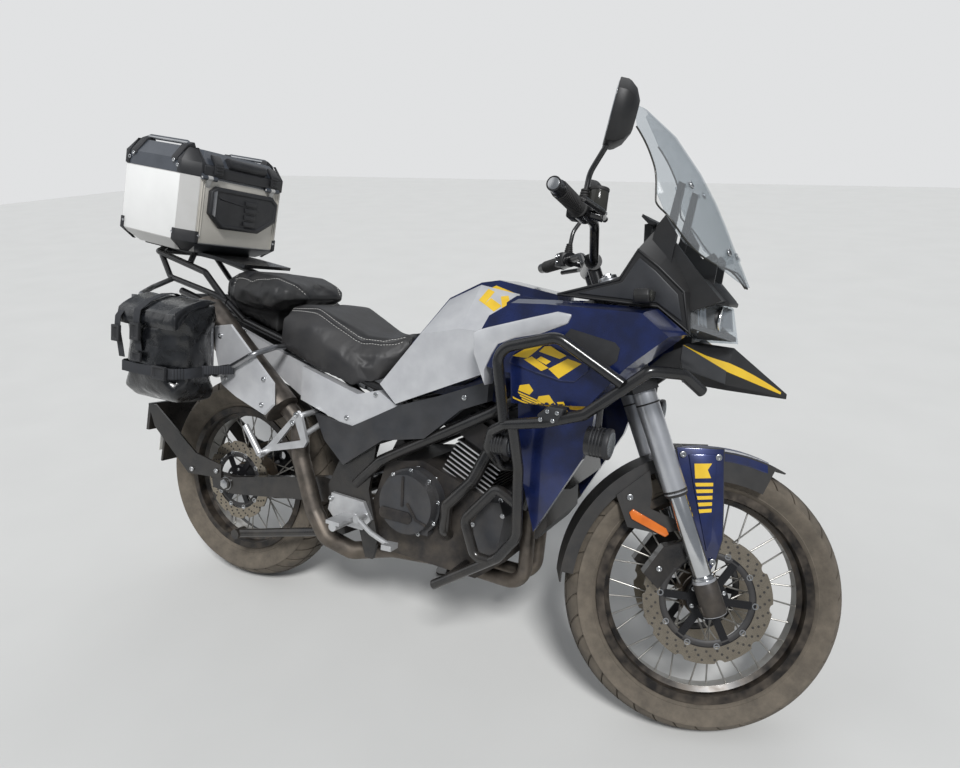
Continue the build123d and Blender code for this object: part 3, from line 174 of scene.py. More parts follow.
def pipe(name, points, radius, smooth=True, sides=4):
    # a hose, cable or bar along points: smooth runs as a NURBS line, otherwise straight runs
    data = bpy.data.curves.new(name, "CURVE")
    data.dimensions = "3D"
    data.resolution_u = 8
    data.bevel_depth = radius / 1000
    data.bevel_resolution = sides
    data.use_fill_caps = True
    line = data.splines.new("NURBS" if smooth else "POLY")
    line.points.add(len(points) - 1)
    for spot, point in zip(line.points, points):
        spot.co = (*mm(*point), 1)
    if smooth:
        line.order_u = 3
        line.use_endpoint_u = True
    piece = bpy.data.objects.new(name, data)
    bpy.context.scene.collection.objects.link(piece)
    onlySelect(piece)
    bpy.ops.object.convert(target="MESH")
    return bpy.context.object


def turned(start, direction):
    # a place at start with its Z along direction
    return Matrix.Translation(start) @ Vector(direction).to_track_quat("Z", "Y").to_matrix().to_4x4()


def drum(name, start, end, radius, bevel=1.0, sides=40, taper=1.0):
    # a round form between two points with rounded rims
    first, last = mm(*start), mm(*end)
    bpy.ops.mesh.primitive_cone_add(vertices=sides, radius1=radius / 1000, radius2=radius * taper / 1000,
                                    depth=(last - first).length)
    piece = bpy.context.object
    piece.name = name
    piece.matrix_world = turned((first + last) / 2, last - first)
    bpy.ops.object.transform_apply(location=True, rotation=True, scale=True)
    if bevel:
        bevelEdges(piece, bevel)
    return piece


def crossDrum(name, x, z, near, far, radius, bevel=1.0, sides=40):
    # a round form along Y, from y near to y far
    return drum(name, (x, near, z), (x, far, z), radius, bevel, sides)


def copies(name, first, places):
    # a small piece modelled at the origin with its Z outwards, copied to each point and direction
    made = []
    for point, direction in places:
        copy = bpy.data.objects.new(name, first.data.copy())
        bpy.context.scene.collection.objects.link(copy)
        copy.matrix_world = turned(mm(*point), direction)
        onlySelect(copy)
        bpy.ops.object.transform_apply(location=True, rotation=True, scale=True)
        made.append(copy)
    bpy.data.objects.remove(first)
    return joined(name, made)


def screws(name, places, radius=6, height=4, socket=0.55, sides=18):
    # button heads with a sunk socket, one modelled and the rest copied
    bpy.ops.mesh.primitive_cylinder_add(vertices=sides, radius=radius / 1000, depth=height / 1000,
                                        location=(0, 0, height / 2000))
    first = bpy.context.object
    first.name = name
    bpy.ops.object.transform_apply(location=True, rotation=True, scale=True)
    bevelEdges(first, min(radius, height) * 0.4, 3)
    pickFaces(first, lambda face: face.normal.z > 0.99 and face.center.z > height / 1000 - 1e-5)
    bpy.ops.mesh.inset(thickness=radius / 1000 * (1 - socket) * 0.6, depth=0)
    bpy.ops.mesh.inset(thickness=radius / 1000 * 0.03, depth=-height / 1000 * 0.6)
    bpy.ops.object.mode_set(mode="OBJECT")
    return copies(name, first, places)


def settleAll(place, body, table):
    # for each new piece: its name, its parts, the record's slot and the finish
    for name, parts, slotName, finishName in table:
        settle(joined(name, parts), place, body, finish[finishName])


# Materials
def linear(hexColour, alpha=1.0):
    parts = [int(hexColour[i:i + 2], 16) / 255 for i in (1, 3, 5)]
    return tuple(p / 12.92 if p <= 0.04045 else ((p + 0.055) / 1.055) ** 2.4 for p in parts) + (alpha,)


def addNode(tree, kind, inputs=None, **settings):
    node = tree.nodes.new(kind)
    for name, value in settings.items():
        setattr(node, name, value)
    for name, value in (inputs or {}).items():
        if isinstance(value, bpy.types.NodeSocket):
            tree.links.new(value, node.inputs[name])
        else:
            node.inputs[name].default_value = value
    return node


def newMaterial(name):
    material = bpy.data.materials.new(name)
    material.use_nodes = True
    tree = material.node_tree
    tree.nodes.clear()
    shader = addNode(tree, "ShaderNodeBsdfPrincipled")
    addNode(tree, "ShaderNodeOutputMaterial", {"Surface": shader.outputs[0]})
    return material, tree, shader


def dustOver(tree, colour, place, amount, top=0.75):
    # road dust: a warm film, thick near the ground, broken by cloudy patches some 60 mm across
    height = addNode(tree, "ShaderNodeSeparateXYZ", {0: place})
    fade = addNode(tree, "ShaderNodeMapRange", {0: height.outputs[2], 1: 0.0, 2: top, 3: amount, 4: amount * 0.12})
    cloud = addNode(tree, "ShaderNodeTexNoise", {"Vector": place, "Scale": 1 / 0.06, "Detail": 5.0,
                                                 "Roughness": 0.62})
    patch = addNode(tree, "ShaderNodeMapRange", {0: cloud.outputs[0], 1: 0.35, 2: 0.68, 3: 0.25, 4: 1.2})
    share = addNode(tree, "ShaderNodeMath", {0: fade.outputs[0], 1: patch.outputs[0]}, operation="MULTIPLY",
                    use_clamp=True)
    dusted = addNode(tree, "ShaderNodeMix", {0: share.outputs[0], 6: colour, 7: linear("#8d8171")},
                     data_type="RGBA")
    return dusted.outputs[2], share.outputs[0]


def makeFinish(name, base, deep, rough, metallic=0.0, coat=0.0, grain=1.2, bump=0.05, vary=0.08, dust=0.25,
               blotch=45, ior=1.5):
    # base and deep colours mixed by soft blotches, a fine grain in the bump and the roughness, and dust
    material, tree, shader = newMaterial(name)
    place = addNode(tree, "ShaderNodeTexCoord").outputs["Object"]
    blotches = addNode(tree, "ShaderNodeTexNoise", {"Vector": place, "Scale": 1000 / blotch, "Detail": 4.0})
    spread = addNode(tree, "ShaderNodeMapRange", {0: blotches.outputs[0], 1: 0.35, 2: 0.65})
    tone = addNode(tree, "ShaderNodeMix", {0: spread.outputs[0], 6: linear(base), 7: linear(deep)},
                   data_type="RGBA")
    colour, share = dustOver(tree, tone.outputs[2], place, dust)
    tree.links.new(colour, shader.inputs["Base Color"])
    fine = addNode(tree, "ShaderNodeTexNoise", {"Vector": place, "Scale": 1000 / grain, "Detail": 2.0})
    gloss = addNode(tree, "ShaderNodeMapRange", {0: fine.outputs[0], 3: rough - vary, 4: rough + vary})
    dulled = addNode(tree, "ShaderNodeMix", {0: share, 2: gloss.outputs[0], 3: 0.85}, data_type="FLOAT")
    tree.links.new(dulled.outputs[0], shader.inputs["Roughness"])
    relief = addNode(tree, "ShaderNodeBump", {"Height": fine.outputs[0], "Distance": bump / 1000,
                                              "Strength": 0.6})
    tree.links.new(relief.outputs[0], shader.inputs["Normal"])
    shader.inputs["Metallic"].default_value = metallic
    shader.inputs["Coat Weight"].default_value = coat
    shader.inputs["Coat Roughness"].default_value = 0.06
    if not metallic:
        shader.inputs["IOR"].default_value = ior
    return material


finishTable = {
    # powder coat on steel tube: near black with a soft sheen and a faint orange peel
    "powderCoatedSteel": dict(base="#0d0e10", deep="#141518", rough=0.27, coat=0.35, grain=1.6, bump=0.04, dust=0.14),
    # moulded black polypropylene: matte, leather-like grain, greys with dust
    "mouldedPolypropylene": dict(base="#17181a", deep="#1f2022", rough=0.47, grain=1.3, bump=0.09, dust=0.16),
    # painted dark-grey ABS facets: satin, slightly blue
    "satinGreyAbs": dict(base="#34363a", deep="#2b2d31", rough=0.36, grain=1.5, bump=0.03, dust=0.18),
    # metallic navy lacquer on ABS: deep blue-black under a clear coat
    "navyLacquer": dict(base="#13255c", deep="#0e1b44", rough=0.28, coat=0.9, metallic=0.35, grain=0.8, bump=0.006,
                        vary=0.04, dust=0.08),
    # silver metallic lacquer on ABS: pale cool grey with a clear coat
    "silverLacquer": dict(base="#cfd0d2", deep="#c3c4c7", rough=0.34, coat=0.8, metallic=0.35, grain=0.8,
                          bump=0.006, vary=0.04, dust=0.08),
    # die-cast aluminium, dark painted: rough sand-cast skin
    "paintedCrankcase": dict(base="#2b2b2e", deep="#222225", rough=0.42, metallic=0.45, grain=2.2, bump=0.18,
                             dust=0.4),
    # cast aluminium, bead blasted: bright satin grey
    "blastedCastAluminium": dict(base="#d2d3d4", deep="#bdbec0", rough=0.38, metallic=0.65, grain=1.2, bump=0.08,
                                 dust=0.16),
    # hard chrome on the lower fork tubes: mirror bright with a film of dust
    "hardChrome": dict(base="#d6d8da", deep="#c8cacc", rough=0.12, metallic=1.0, grain=0.8, bump=0.004, vary=0.03,
                       dust=0.18),
    # silver painted fork outers: bright satin silver
    "silverForkPaint": dict(base="#c3c5c9", deep="#b5b7bc", rough=0.3, metallic=0.7, coat=0.4, grain=0.9, bump=0.008,
                            vary=0.04, dust=0.16),
    # brushed stainless steel, ground along its length and dusty
    "brushedStainless": dict(base="#a7a8aa", deep="#8f9093", rough=0.32, metallic=1.0, grain=0.9, bump=0.02,
                             dust=0.3),
    # exhaust steel dulled by heat: grey-brown, blotched
    "heatDulledSteel": dict(base="#6f6862", deep="#54504c", rough=0.42, metallic=0.85, grain=1.4, bump=0.04,
                            dust=0.45, blotch=28),
    # white-grey anodised aluminium plate of the top case: bright, very even
    "anodisedCasePlate": dict(base="#cfcecc", deep="#c6c5c2", rough=0.46, metallic=0.25, grain=0.8, bump=0.01,
                              vary=0.04, dust=0.05, blotch=120),
    # blue-grey powder coat on the lid
    "slateLidCoat": dict(base="#42474f", deep="#3a3f47", rough=0.38, coat=0.2, grain=1.4, bump=0.03, dust=0.06),
    # glass-filled nylon for corners, latches and pads: black and matte
    "filledNylon": dict(base="#202124", deep="#292a2d", rough=0.52, grain=1.1, bump=0.07, dust=0.12),
    # oiled drive chain steel, brown with grime
    "oiledChainSteel": dict(base="#5b5248", deep="#3c362f", rough=0.4, metallic=0.8, grain=1.2, bump=0.05, dust=0.35),
    # EPDM rubber for hoses, grips and boots
    "blackEpdm": dict(base="#1b1b1c", deep="#232324", rough=0.6, grain=1.0, bump=0.05, dust=0.2),
    # zinc-plated and polished screw heads
    "zincPlatedSteel": dict(base="#c4c5c6", deep="#aeb0b2", rough=0.25, metallic=1.0, grain=0.7, bump=0.01,
                            dust=0.12),
    # yellow vinyl film
    "yellowVinyl": dict(base="#e6bf2e", deep="#dcb428", rough=0.36, coat=0.3, grain=0.9, bump=0.008, dust=0.1),
    # white painted steel plate
    "whitePlatePaint": dict(base="#dededa", deep="#d2d2ce", rough=0.35, coat=0.3, grain=0.9, bump=0.01, dust=0.3),
    # amber reflector and signal lens
    "amberAcrylic": dict(base="#d9701a", deep="#c45f12", rough=0.18, coat=0.8, grain=2.0, bump=0.02, dust=0.1),
    # red tail lens
    "redAcrylic": dict(base="#8e1418", deep="#7a1014", rough=0.16, coat=0.8, grain=2.0, bump=0.02, dust=0.1),
}
finish = {name: makeFinish(name, **values) for name, values in finishTable.items()}


def ringShare(tree, centre, place):
    # a wheel's own coordinates, and the distance from its axle line
    inward = (place @ Matrix.Translation(mm(*centre))).inverted()
    own = addNode(tree, "ShaderNodeTexCoord").outputs["Object"]
    wheel = addNode(tree, "ShaderNodeMapping", {"Vector": own, "Location": inward.to_translation(),
                                                "Rotation": inward.to_euler("XYZ")})
    parts = addNode(tree, "ShaderNodeSeparateXYZ", {0: wheel.outputs[0]})
    flat = addNode(tree, "ShaderNodeCombineXYZ", {0: parts.outputs[0], 2: parts.outputs[2]})
    reach = addNode(tree, "ShaderNodeVectorMath", {0: flat.outputs[0]}, operation="LENGTH")
    return wheel.outputs[0], reach.outputs["Value"]


def rubberTyre(name, centre, place, radius):
    # moulded tyre rubber: dark and matte on the blocks, beige dust in the grooves and on the walls
    material, tree, shader = newMaterial(name)
    wheel, reach = ringShare(tree, centre, place)
    cloud = addNode(tree, "ShaderNodeTexNoise", {"Vector": wheel, "Scale": 1 / 0.035, "Detail": 6.0,
                                                 "Roughness": 0.65})
    grit = addNode(tree, "ShaderNodeTexNoise", {"Vector": wheel, "Scale": 1 / 0.0022, "Detail": 2.0})
    worn = addNode(tree, "ShaderNodeMapRange", {0: reach, 1: (radius - 14) / 1000, 2: (radius - 1) / 1000,
                                                3: 0.78, 4: 0.42})
    patch = addNode(tree, "ShaderNodeMapRange", {0: cloud.outputs[0], 1: 0.3, 2: 0.7, 3: 0.55, 4: 1.15})
    share = addNode(tree, "ShaderNodeMath", {0: worn.outputs[0], 1: patch.outputs[0]}, operation="MULTIPLY",
                    use_clamp=True)
    colour = addNode(tree, "ShaderNodeMix", {0: share.outputs[0], 6: linear("#2b2926"), 7: linear("#70675b")},
                     data_type="RGBA")
    tree.links.new(colour.outputs[2], shader.inputs["Base Color"])
    shader.inputs["Roughness"].default_value = 0.86
    relief = addNode(tree, "ShaderNodeBump", {"Height": grit.outputs[0], "Distance": 0.0004, "Strength": 0.5})
    tree.links.new(relief.outputs[0], shader.inputs["Normal"])
    return material


def lacedRim(name, centre, place, bead, hub):
    # anodised black rim, bright zinc spokes and a dusty cast hub, told apart by their distance from the axle
    material, tree, shader = newMaterial(name)
    wheel, reach = ringShare(tree, centre, place)
    isRim = addNode(tree, "ShaderNodeMath", {0: reach, 1: (bead - 20) / 1000}, operation="GREATER_THAN")
    isHub = addNode(tree, "ShaderNodeMath", {0: reach, 1: hub / 1000}, operation="LESS_THAN")
    cloud = addNode(tree, "ShaderNodeTexNoise", {"Vector": wheel, "Scale": 1 / 0.03, "Detail": 5.0})
    film = addNode(tree, "ShaderNodeMapRange", {0: cloud.outputs[0], 1: 0.35, 2: 0.7, 3: 0.04, 4: 0.32})
    steel = addNode(tree, "ShaderNodeMix", {0: isRim.outputs[0], 6: linear("#aaa9a5"), 7: linear("#0b0c0f")},
                    data_type="RGBA")
    cast = addNode(tree, "ShaderNodeMix", {0: isHub.outputs[0], 6: steel.outputs[2], 7: linear("#6d6459")},
                   data_type="RGBA")
    dusted = addNode(tree, "ShaderNodeMix", {0: film.outputs[0], 6: cast.outputs[2], 7: linear("#86796a")},
                     data_type="RGBA")
    tree.links.new(dusted.outputs[2], shader.inputs["Base Color"])
    metal = addNode(tree, "ShaderNodeMapRange", {0: isRim.outputs[0], 3: 0.85, 4: 0.3})
    tree.links.new(metal.outputs[0], shader.inputs["Metallic"])
    gloss = addNode(tree, "ShaderNodeMapRange", {0: film.outputs[0], 1: 0.1, 2: 0.5, 3: 0.28, 4: 0.6})
    tree.links.new(gloss.outputs[0], shader.inputs["Roughness"])
    return material


def groundDisc(name, centre, place, inner):
    # brake disc steel: rings of fine grinding marks 1.2 mm apart, and a black carrier inside
    material, tree, shader = newMaterial(name)
    wheel, reach = ringShare(tree, centre, place)
    rings = addNode(tree, "ShaderNodeMath", {0: reach, 1: 2 * math.pi / 0.0012}, operation="MULTIPLY")
    wave = addNode(tree, "ShaderNodeMath", {0: rings.outputs[0]}, operation="SINE")
    isBand = addNode(tree, "ShaderNodeMath", {0: reach, 1: inner / 1000}, operation="GREATER_THAN")
    cloud = addNode(tree, "ShaderNodeTexNoise", {"Vector": wheel, "Scale": 1 / 0.025, "Detail": 4.0})
    tone = addNode(tree, "ShaderNodeMix", {0: cloud.outputs[0], 6: linear("#a89f90"), 7: linear("#8a8173")},
                   data_type="RGBA")
    colour = addNode(tree, "ShaderNodeMix", {0: isBand.outputs[0], 6: linear("#1b1b1d"), 7: tone.outputs[2]},
                     data_type="RGBA")
    tree.links.new(colour.outputs[2], shader.inputs["Base Color"])
    metal = addNode(tree, "ShaderNodeMapRange", {0: isBand.outputs[0], 3: 0.3, 4: 1.0})
    tree.links.new(metal.outputs[0], shader.inputs["Metallic"])
    gloss = addNode(tree, "ShaderNodeMapRange", {0: wave.outputs[0], 1: -1.0, 2: 1.0, 3: 0.26, 4: 0.4})
    tree.links.new(gloss.outputs[0], shader.inputs["Roughness"])
    return material


def seeThrough(name, tint, rough, share, ior=1.49):
    # clear polycarbonate or acrylic: the tint shows at the edges, the light passes nearly straight
    material, tree, shader = newMaterial(name)
    place = addNode(tree, "ShaderNodeTexCoord").outputs["Object"]
    film = addNode(tree, "ShaderNodeTexNoise", {"Vector": place, "Scale": 1 / 0.05, "Detail": 4.0})
    haze = addNode(tree, "ShaderNodeMapRange", {0: film.outputs[0], 1: 0.3, 2: 0.7, 3: rough, 4: rough + 0.1})
    shader.inputs["Base Color"].default_value = linear(tint)
    tree.links.new(haze.outputs[0], shader.inputs["Roughness"])
    shader.inputs["IOR"].default_value = ior
    clear = addNode(tree, "ShaderNodeBsdfTransparent", {0: linear(tint)})
    mixed = addNode(tree, "ShaderNodeMixShader", {0: share, 1: clear.outputs[0], 2: shader.outputs[0]})
    output = [node for node in tree.nodes if node.type == "OUTPUT_MATERIAL"][0]
    tree.links.new(mixed.outputs[0], output.inputs["Surface"])
    return material


frontCentre = (wheelbase, 0, frontRadius)
rearCentre = (0, 0, rearRadius)
finish["frontTyreRubber"] = rubberTyre("frontTyreRubber", frontCentre, fork, frontRadius)
finish["rearTyreRubber"] = rubberTyre("rearTyreRubber", rearCentre, bike, rearRadius)
finish["frontLacedRim"] = lacedRim("frontLacedRim", frontCentre, fork, 242, 60)
finish["rearLacedRim"] = lacedRim("rearLacedRim", rearCentre, bike, 217, 72)
finish["frontGroundDisc"] = groundDisc("frontGroundDisc", frontCentre, fork, 112)
finish["rearGroundDisc"] = groundDisc("rearGroundDisc", rearCentre, bike, 92)
finish["clearPolycarbonate"] = seeThrough("clearPolycarbonate", "#e3e6e8", 0.04, 0.11)
finish["clearLampLens"] = seeThrough("clearLampLens", "#e8ecef", 0.03, 0.16)
finish["smokedAcrylic"] = seeThrough("smokedAcrylic", "#4a4a46", 0.08, 0.55)

nodeFinish = {
    "powderCoatedSteel": "frame swingarm fork_clamps handlebar crash_bar_right crash_bar_left side_stand "
                         "centre_stand rear_rack rear_shock rear_hugger front_calipers radiator",
    "mouldedPolypropylene": "mirrors front_mudguard engine_chin tail_unit headlamp_cowl beak instrument_panel",
    "satinGreyAbs": "side_panels engine_covers",
    "navyLacquer": "fuel_tank shrouds",
    "silverLacquer": "tank_side_panels tail_panels silencer_shield",
    "paintedCrankcase": "engine",
    "blastedCastAluminium": "rider_footrests passenger_footrests",
    "silverForkPaint": "fork_legs",
    "brushedStainless": "pannier_racks",
    "heatDulledSteel": "exhaust_pipe silencer",
    "anodisedCasePlate": "top_case_body",
    "slateLidCoat": "top_case_lid",
    "oiledChainSteel": "drive_chain",
    "whitePlatePaint": "blank_plate",
    "blackEpdm": "rider_seat passenger_seat saddlebags",
    "clearPolycarbonate": "windscreen",
    "clearLampLens": "headlamp",
    "frontTyreRubber": "front_tyre",
    "rearTyreRubber": "rear_tyre",
    "frontLacedRim": "front_rim",
    "rearLacedRim": "rear_rim",
    "frontGroundDisc": "front_discs",
    "rearGroundDisc": "rear_disc_and_sprocket",
}
for finishName, names in nodeFinish.items():
    for name in names.split():
        nodes[name].data.materials.clear()
        nodes[name].data.materials.append(finish[finishName])
print("materials on the CAD nodes done")

# Camera, floor and light
photo = dict(width=960, focal=697.4, sensor=36)
cameraSpot = mm(1596.1, -1683.9, 1037.64)
cameraRight = Vector((0.890583, 0.44598, 0.089243))
cameraDown = Vector((0.147764, -0.09814, -0.984141))
cameraAhead = Vector((-0.430149, 0.889646, -0.153302))
cameraData = bpy.data.cameras.new("photoCamera")
cameraData.sensor_width = photo["sensor"]
cameraData.lens = photo["focal"] / photo["width"] * photo["sensor"]
camera = bpy.data.objects.new("photoCamera", cameraData)
bpy.context.scene.collection.objects.link(camera)
aim = Matrix((cameraRight, -cameraDown, -cameraAhead)).transposed().to_4x4()
camera.matrix_world = bike @ Matrix.Translation(cameraSpot) @ aim
bpy.context.scene.camera = camera

floorSize = dict(half=14, tone="#c6c6c4", pale="#cececc", blotch=0.4, rough=0.9)
bpy.ops.object.select_all(action="DESELECT")
bpy.ops.mesh.primitive_plane_add(size=floorSize["half"] * 2)
floor = bpy.context.object
floor.name = "floor"
floorMaterial, floorTree, floorShader = newMaterial("paleFloor")
floorPlace = addNode(floorTree, "ShaderNodeTexCoord").outputs["Object"]
floorCloud = addNode(floorTree, "ShaderNodeTexNoise", {"Vector": floorPlace, "Scale": 1 / floorSize["blotch"],
                                                       "Detail": 3.0})
floorTone = addNode(floorTree, "ShaderNodeMix", {0: floorCloud.outputs[0], 6: linear(floorSize["tone"]),
                                                 7: linear(floorSize["pale"])}, data_type="RGBA")
floorTree.links.new(floorTone.outputs[2], floorShader.inputs["Base Color"])
floorShader.inputs["Roughness"].default_value = floorSize["rough"]
floor.data.materials.append(floorMaterial)

# the camera and clear pieces see a bright backdrop, while the ambient light on the object stays plain
skyLight = dict(ambient="#e4eaf2", ambientStrength=0.34, backdrop="#e6e7e8", backdropStrength=0.95)
world = bpy.data.worlds.new("studioSky")
bpy.context.scene.world = world
world.use_nodes = True
sky = world.node_tree
sky.nodes.clear()
paths = addNode(sky, "ShaderNodeLightPath")
shown = addNode(sky, "ShaderNodeMath", {0: paths.outputs["Is Camera Ray"],
                                        1: paths.outputs["Is Transmission Ray"]}, operation="MAXIMUM")
ambient = addNode(sky, "ShaderNodeBackground", {0: linear(skyLight["ambient"]), 1: skyLight["ambientStrength"]})
backdrop = addNode(sky, "ShaderNodeBackground", {0: linear(skyLight["backdrop"]), 1: skyLight["backdropStrength"]})
skyMix = addNode(sky, "ShaderNodeMixShader", {0: shown.outputs[0], 1: ambient.outputs[0], 2: backdrop.outputs[0]})
addNode(sky, "ShaderNodeOutputWorld", {0: skyMix.outputs[0]})

# soft suns, so that the floor is lit evenly out to the backdrop; the angle is how wide each one looks
lightTable = {
    "keyLight": dict(way=(-0.45, 0.62, -0.9), wide=14, strength=2.8),
    "fillLight": dict(way=(0.8, 0.25, -0.55), wide=60, strength=0.55),
    "backLight": dict(way=(0.2, -0.9, -0.8), wide=50, strength=0.5),
}
for name, values in lightTable.items():
    lampData = bpy.data.lights.new(name, "SUN")
    lampData.angle = math.radians(values["wide"])
    lampData.energy = values["strength"]
    lamp = bpy.data.objects.new(name, lampData)
    bpy.context.scene.collection.objects.link(lamp)
    lamp.rotation_euler = Vector(values["way"]).to_track_quat("-Z", "Y").to_euler()
bpy.context.scene.view_settings.view_transform = "Standard"
print("camera, floor and light done")


# Tyres: the CAD profile spun round the axle, with the tread grooves cut into it
def arcPoints(start, middle, end, count):
    # points on a curve through three points, without its start
    points = []
    for i in range(1, count + 1):
        t = i / count
        points.append(tuple(a * (1 - t) * (1 - 2 * t) + b * 4 * t * (1 - t) + c * t * (2 * t - 1)
                            for a, b, c in zip(start, middle, end)))
    return points


def makeTyre(name, centre, radius, width, bead, beadHalf, flange, pitches, depth, grooveWidth):
    # the tread is an arc over 94% of the width, which falls by half of its half width
    half = width / 2 * 0.94
    drop = half * 0.51
    arc = (half * half + drop * drop) / (2 * drop)
    rows = [-1, -0.86, -0.7, -0.54, -0.42, -0.36, -0.2, -0.08, 0.08, 0.2, 0.36, 0.42, 0.54, 0.7, 0.86, 1]
    tread = [(row * half, radius - arc + math.sqrt(arc * arc - (row * half) ** 2)) for row in rows]
    shoulder, bulge, foot = (half, radius - drop), (width / 2, (radius + flange) / 2), (beadHalf, flange)
    wall = arcPoints(shoulder, bulge, foot, 9)
    wall.insert(8, (wall[7][0] + 0.8, wall[7][1] - 2))
    profile = tread + wall + [(beadHalf, bead + 0.5)]
    profile += [(-y, r) for y, r in reversed(wall + [(beadHalf, bead + 0.5)])]
    bpy.ops.mesh.primitive_circle_add(vertices=len(profile), fill_type="NOTHING", radius=0.1)
    tyre = bpy.context.object
    tyre.name = name
    for vertex, (y, r) in zip(tyre.data.vertices, profile):
        vertex.co = mm(0, y, r)
    perPitch = 6  # steps of the spin for each tread block: one for its groove, five for the block
    steps = pitches * perPitch

    def turnRound():
        bpy.ops.mesh.spin(steps=steps, angle=2 * math.pi, center=(0, 0, 0), axis=(0, 1, 0))
        bpy.ops.mesh.select_all(action="SELECT")
        bpy.ops.mesh.remove_doubles(threshold=0.00005)
        bpy.ops.mesh.normals_make_consistent(inside=False)

    edit(tyre, turnRound)
    pitch = 2 * math.pi / pitches
    narrow = grooveWidth / radius
    rowOf, stepOf = {}, {}
    for vertex in tyre.data.vertices:
        x, y, z = vertex.co * 1000
        r = math.hypot(x, z)
        step = round(math.atan2(x, z) / (2 * math.pi) * steps) % steps
        stepOf[vertex.index] = step
        onTread = r > radius - drop - 0.05
        rowOf[vertex.index] = min(range(len(rows)), key=lambda k: abs(rows[k] * half - y)) if onTread else -1
        block, part = divmod(step, perPitch)
        share = max(-1, min(1, y / half))
        angle = block * pitch + (0 if part == 0 else narrow + (pitch - narrow) * (part - 1) / (perPitch - 1))
        angle += pitch * (0.95 * abs(share) + 0.25 * math.tanh(share * 6))
        vertex.co = (r * math.sin(angle) / 1000, y / 1000, r * math.cos(angle) / 1000)
    ringRows = ({4, 5}, {10, 11})  # the rows that the two grooves round the tyre lie between

    def isGroove(face):
        found = {rowOf[v] for v in face.vertices}
        edge = {stepOf[v] % perPitch for v in face.vertices} == {0, 1}
        return found in ringRows or (edge and -1 not in found and found != {7, 8})

    pickFaces(tyre, isGroove)
    bpy.ops.mesh.extrude_region_shrink_fatten(TRANSFORM_OT_shrink_fatten={"value": -depth / 1000})
    bpy.ops.object.mode_set(mode="OBJECT")
    tyre.matrix_world = Matrix.Translation(mm(*centre))
    bpy.ops.object.transform_apply(location=True, rotation=True, scale=True)
    return tyre


frontTyreSize = dict(centre=frontCentre, radius=frontRadius, width=110, bead=242, beadHalf=36, flange=256,
                     pitches=38, depth=4.5, grooveWidth=6)
rearTyreSize = dict(centre=rearCentre, radius=rearRadius, width=140, bead=217, beadHalf=48, flange=231,
                    pitches=36, depth=5, grooveWidth=7)
frontTread = makeTyre("frontTreadTyre", **frontTyreSize)
settle(frontTread, fork, "front_wheel", finish["frontTyreRubber"], 25)
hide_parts("front_tyre")
rearTread = makeTyre("rearTreadTyre", **rearTyreSize)
settle(rearTread, bike, "rear_wheel", finish["rearTyreRubber"], 25)
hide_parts("rear_tyre")
print("tyres done")


# Soft pieces: a copy of the CAD solid, remeshed, rounded and blown up a little by the cloth simulation
clothFrames = 20


def clothCopy(name, source, voxel, smoothing, shrink, cap, pressure=4.0):
    piece = bpy.data.objects.new(name, nodes[source].data.copy())
    bpy.context.scene.collection.objects.link(piece)
    onlySelect(piece)
    piece.matrix_world = bike.inverted()
    bpy.ops.object.transform_apply(location=True, rotation=True, scale=True)
    edit(piece, lambda: bpy.ops.mesh.remove_doubles(threshold=0.0001))
    piece.data.materials.clear()
    remesh = piece.modifiers.new("voxels", "REMESH")
    remesh.mode = "VOXEL"
    remesh.voxel_size = voxel / 1000
    rounding = piece.modifiers.new("rounding", "SMOOTH")
    rounding.iterations = smoothing
    applyModifiers(piece)
    edit(piece, lambda: bpy.ops.transform.shrink_fatten(value=-shrink / 1000))
    start = [vertex.co.copy() for vertex in piece.data.vertices]
    cloth = piece.modifiers.new("padding", "CLOTH")
    cloth.settings.use_pressure = True
    cloth.settings.uniform_pressure_force = pressure
    cloth.settings.effector_weights.gravity = 0
    cloth.settings.quality = 4
    cloth.point_cache.frame_start = 1
    cloth.point_cache.frame_end = clothFrames
    for step in range(1, clothFrames + 1):
        bpy.context.scene.frame_set(step)
    applyModifiers(piece)
    bpy.context.scene.frame_set(1)
    for vertex, place in zip(piece.data.vertices, start):
        move = vertex.co - place
        if move.length > cap / 1000:
            vertex.co = place + move.normalized() * cap / 1000
    return piece


def subdivided(piece):
    finer = piece.modifiers.new("finer", "SUBSURF")
    finer.levels = finer.render_levels = 1
    applyModifiers(piece)


def markPanel(piece, name, inside):
    # a 0 to 1 attribute that tells the material which panel a point belongs to
    layer = piece.data.attributes.new(name, "FLOAT", "POINT")
    for vertex in piece.data.vertices:
        layer.data[vertex.index].value = inside(vertex.co * 1000)


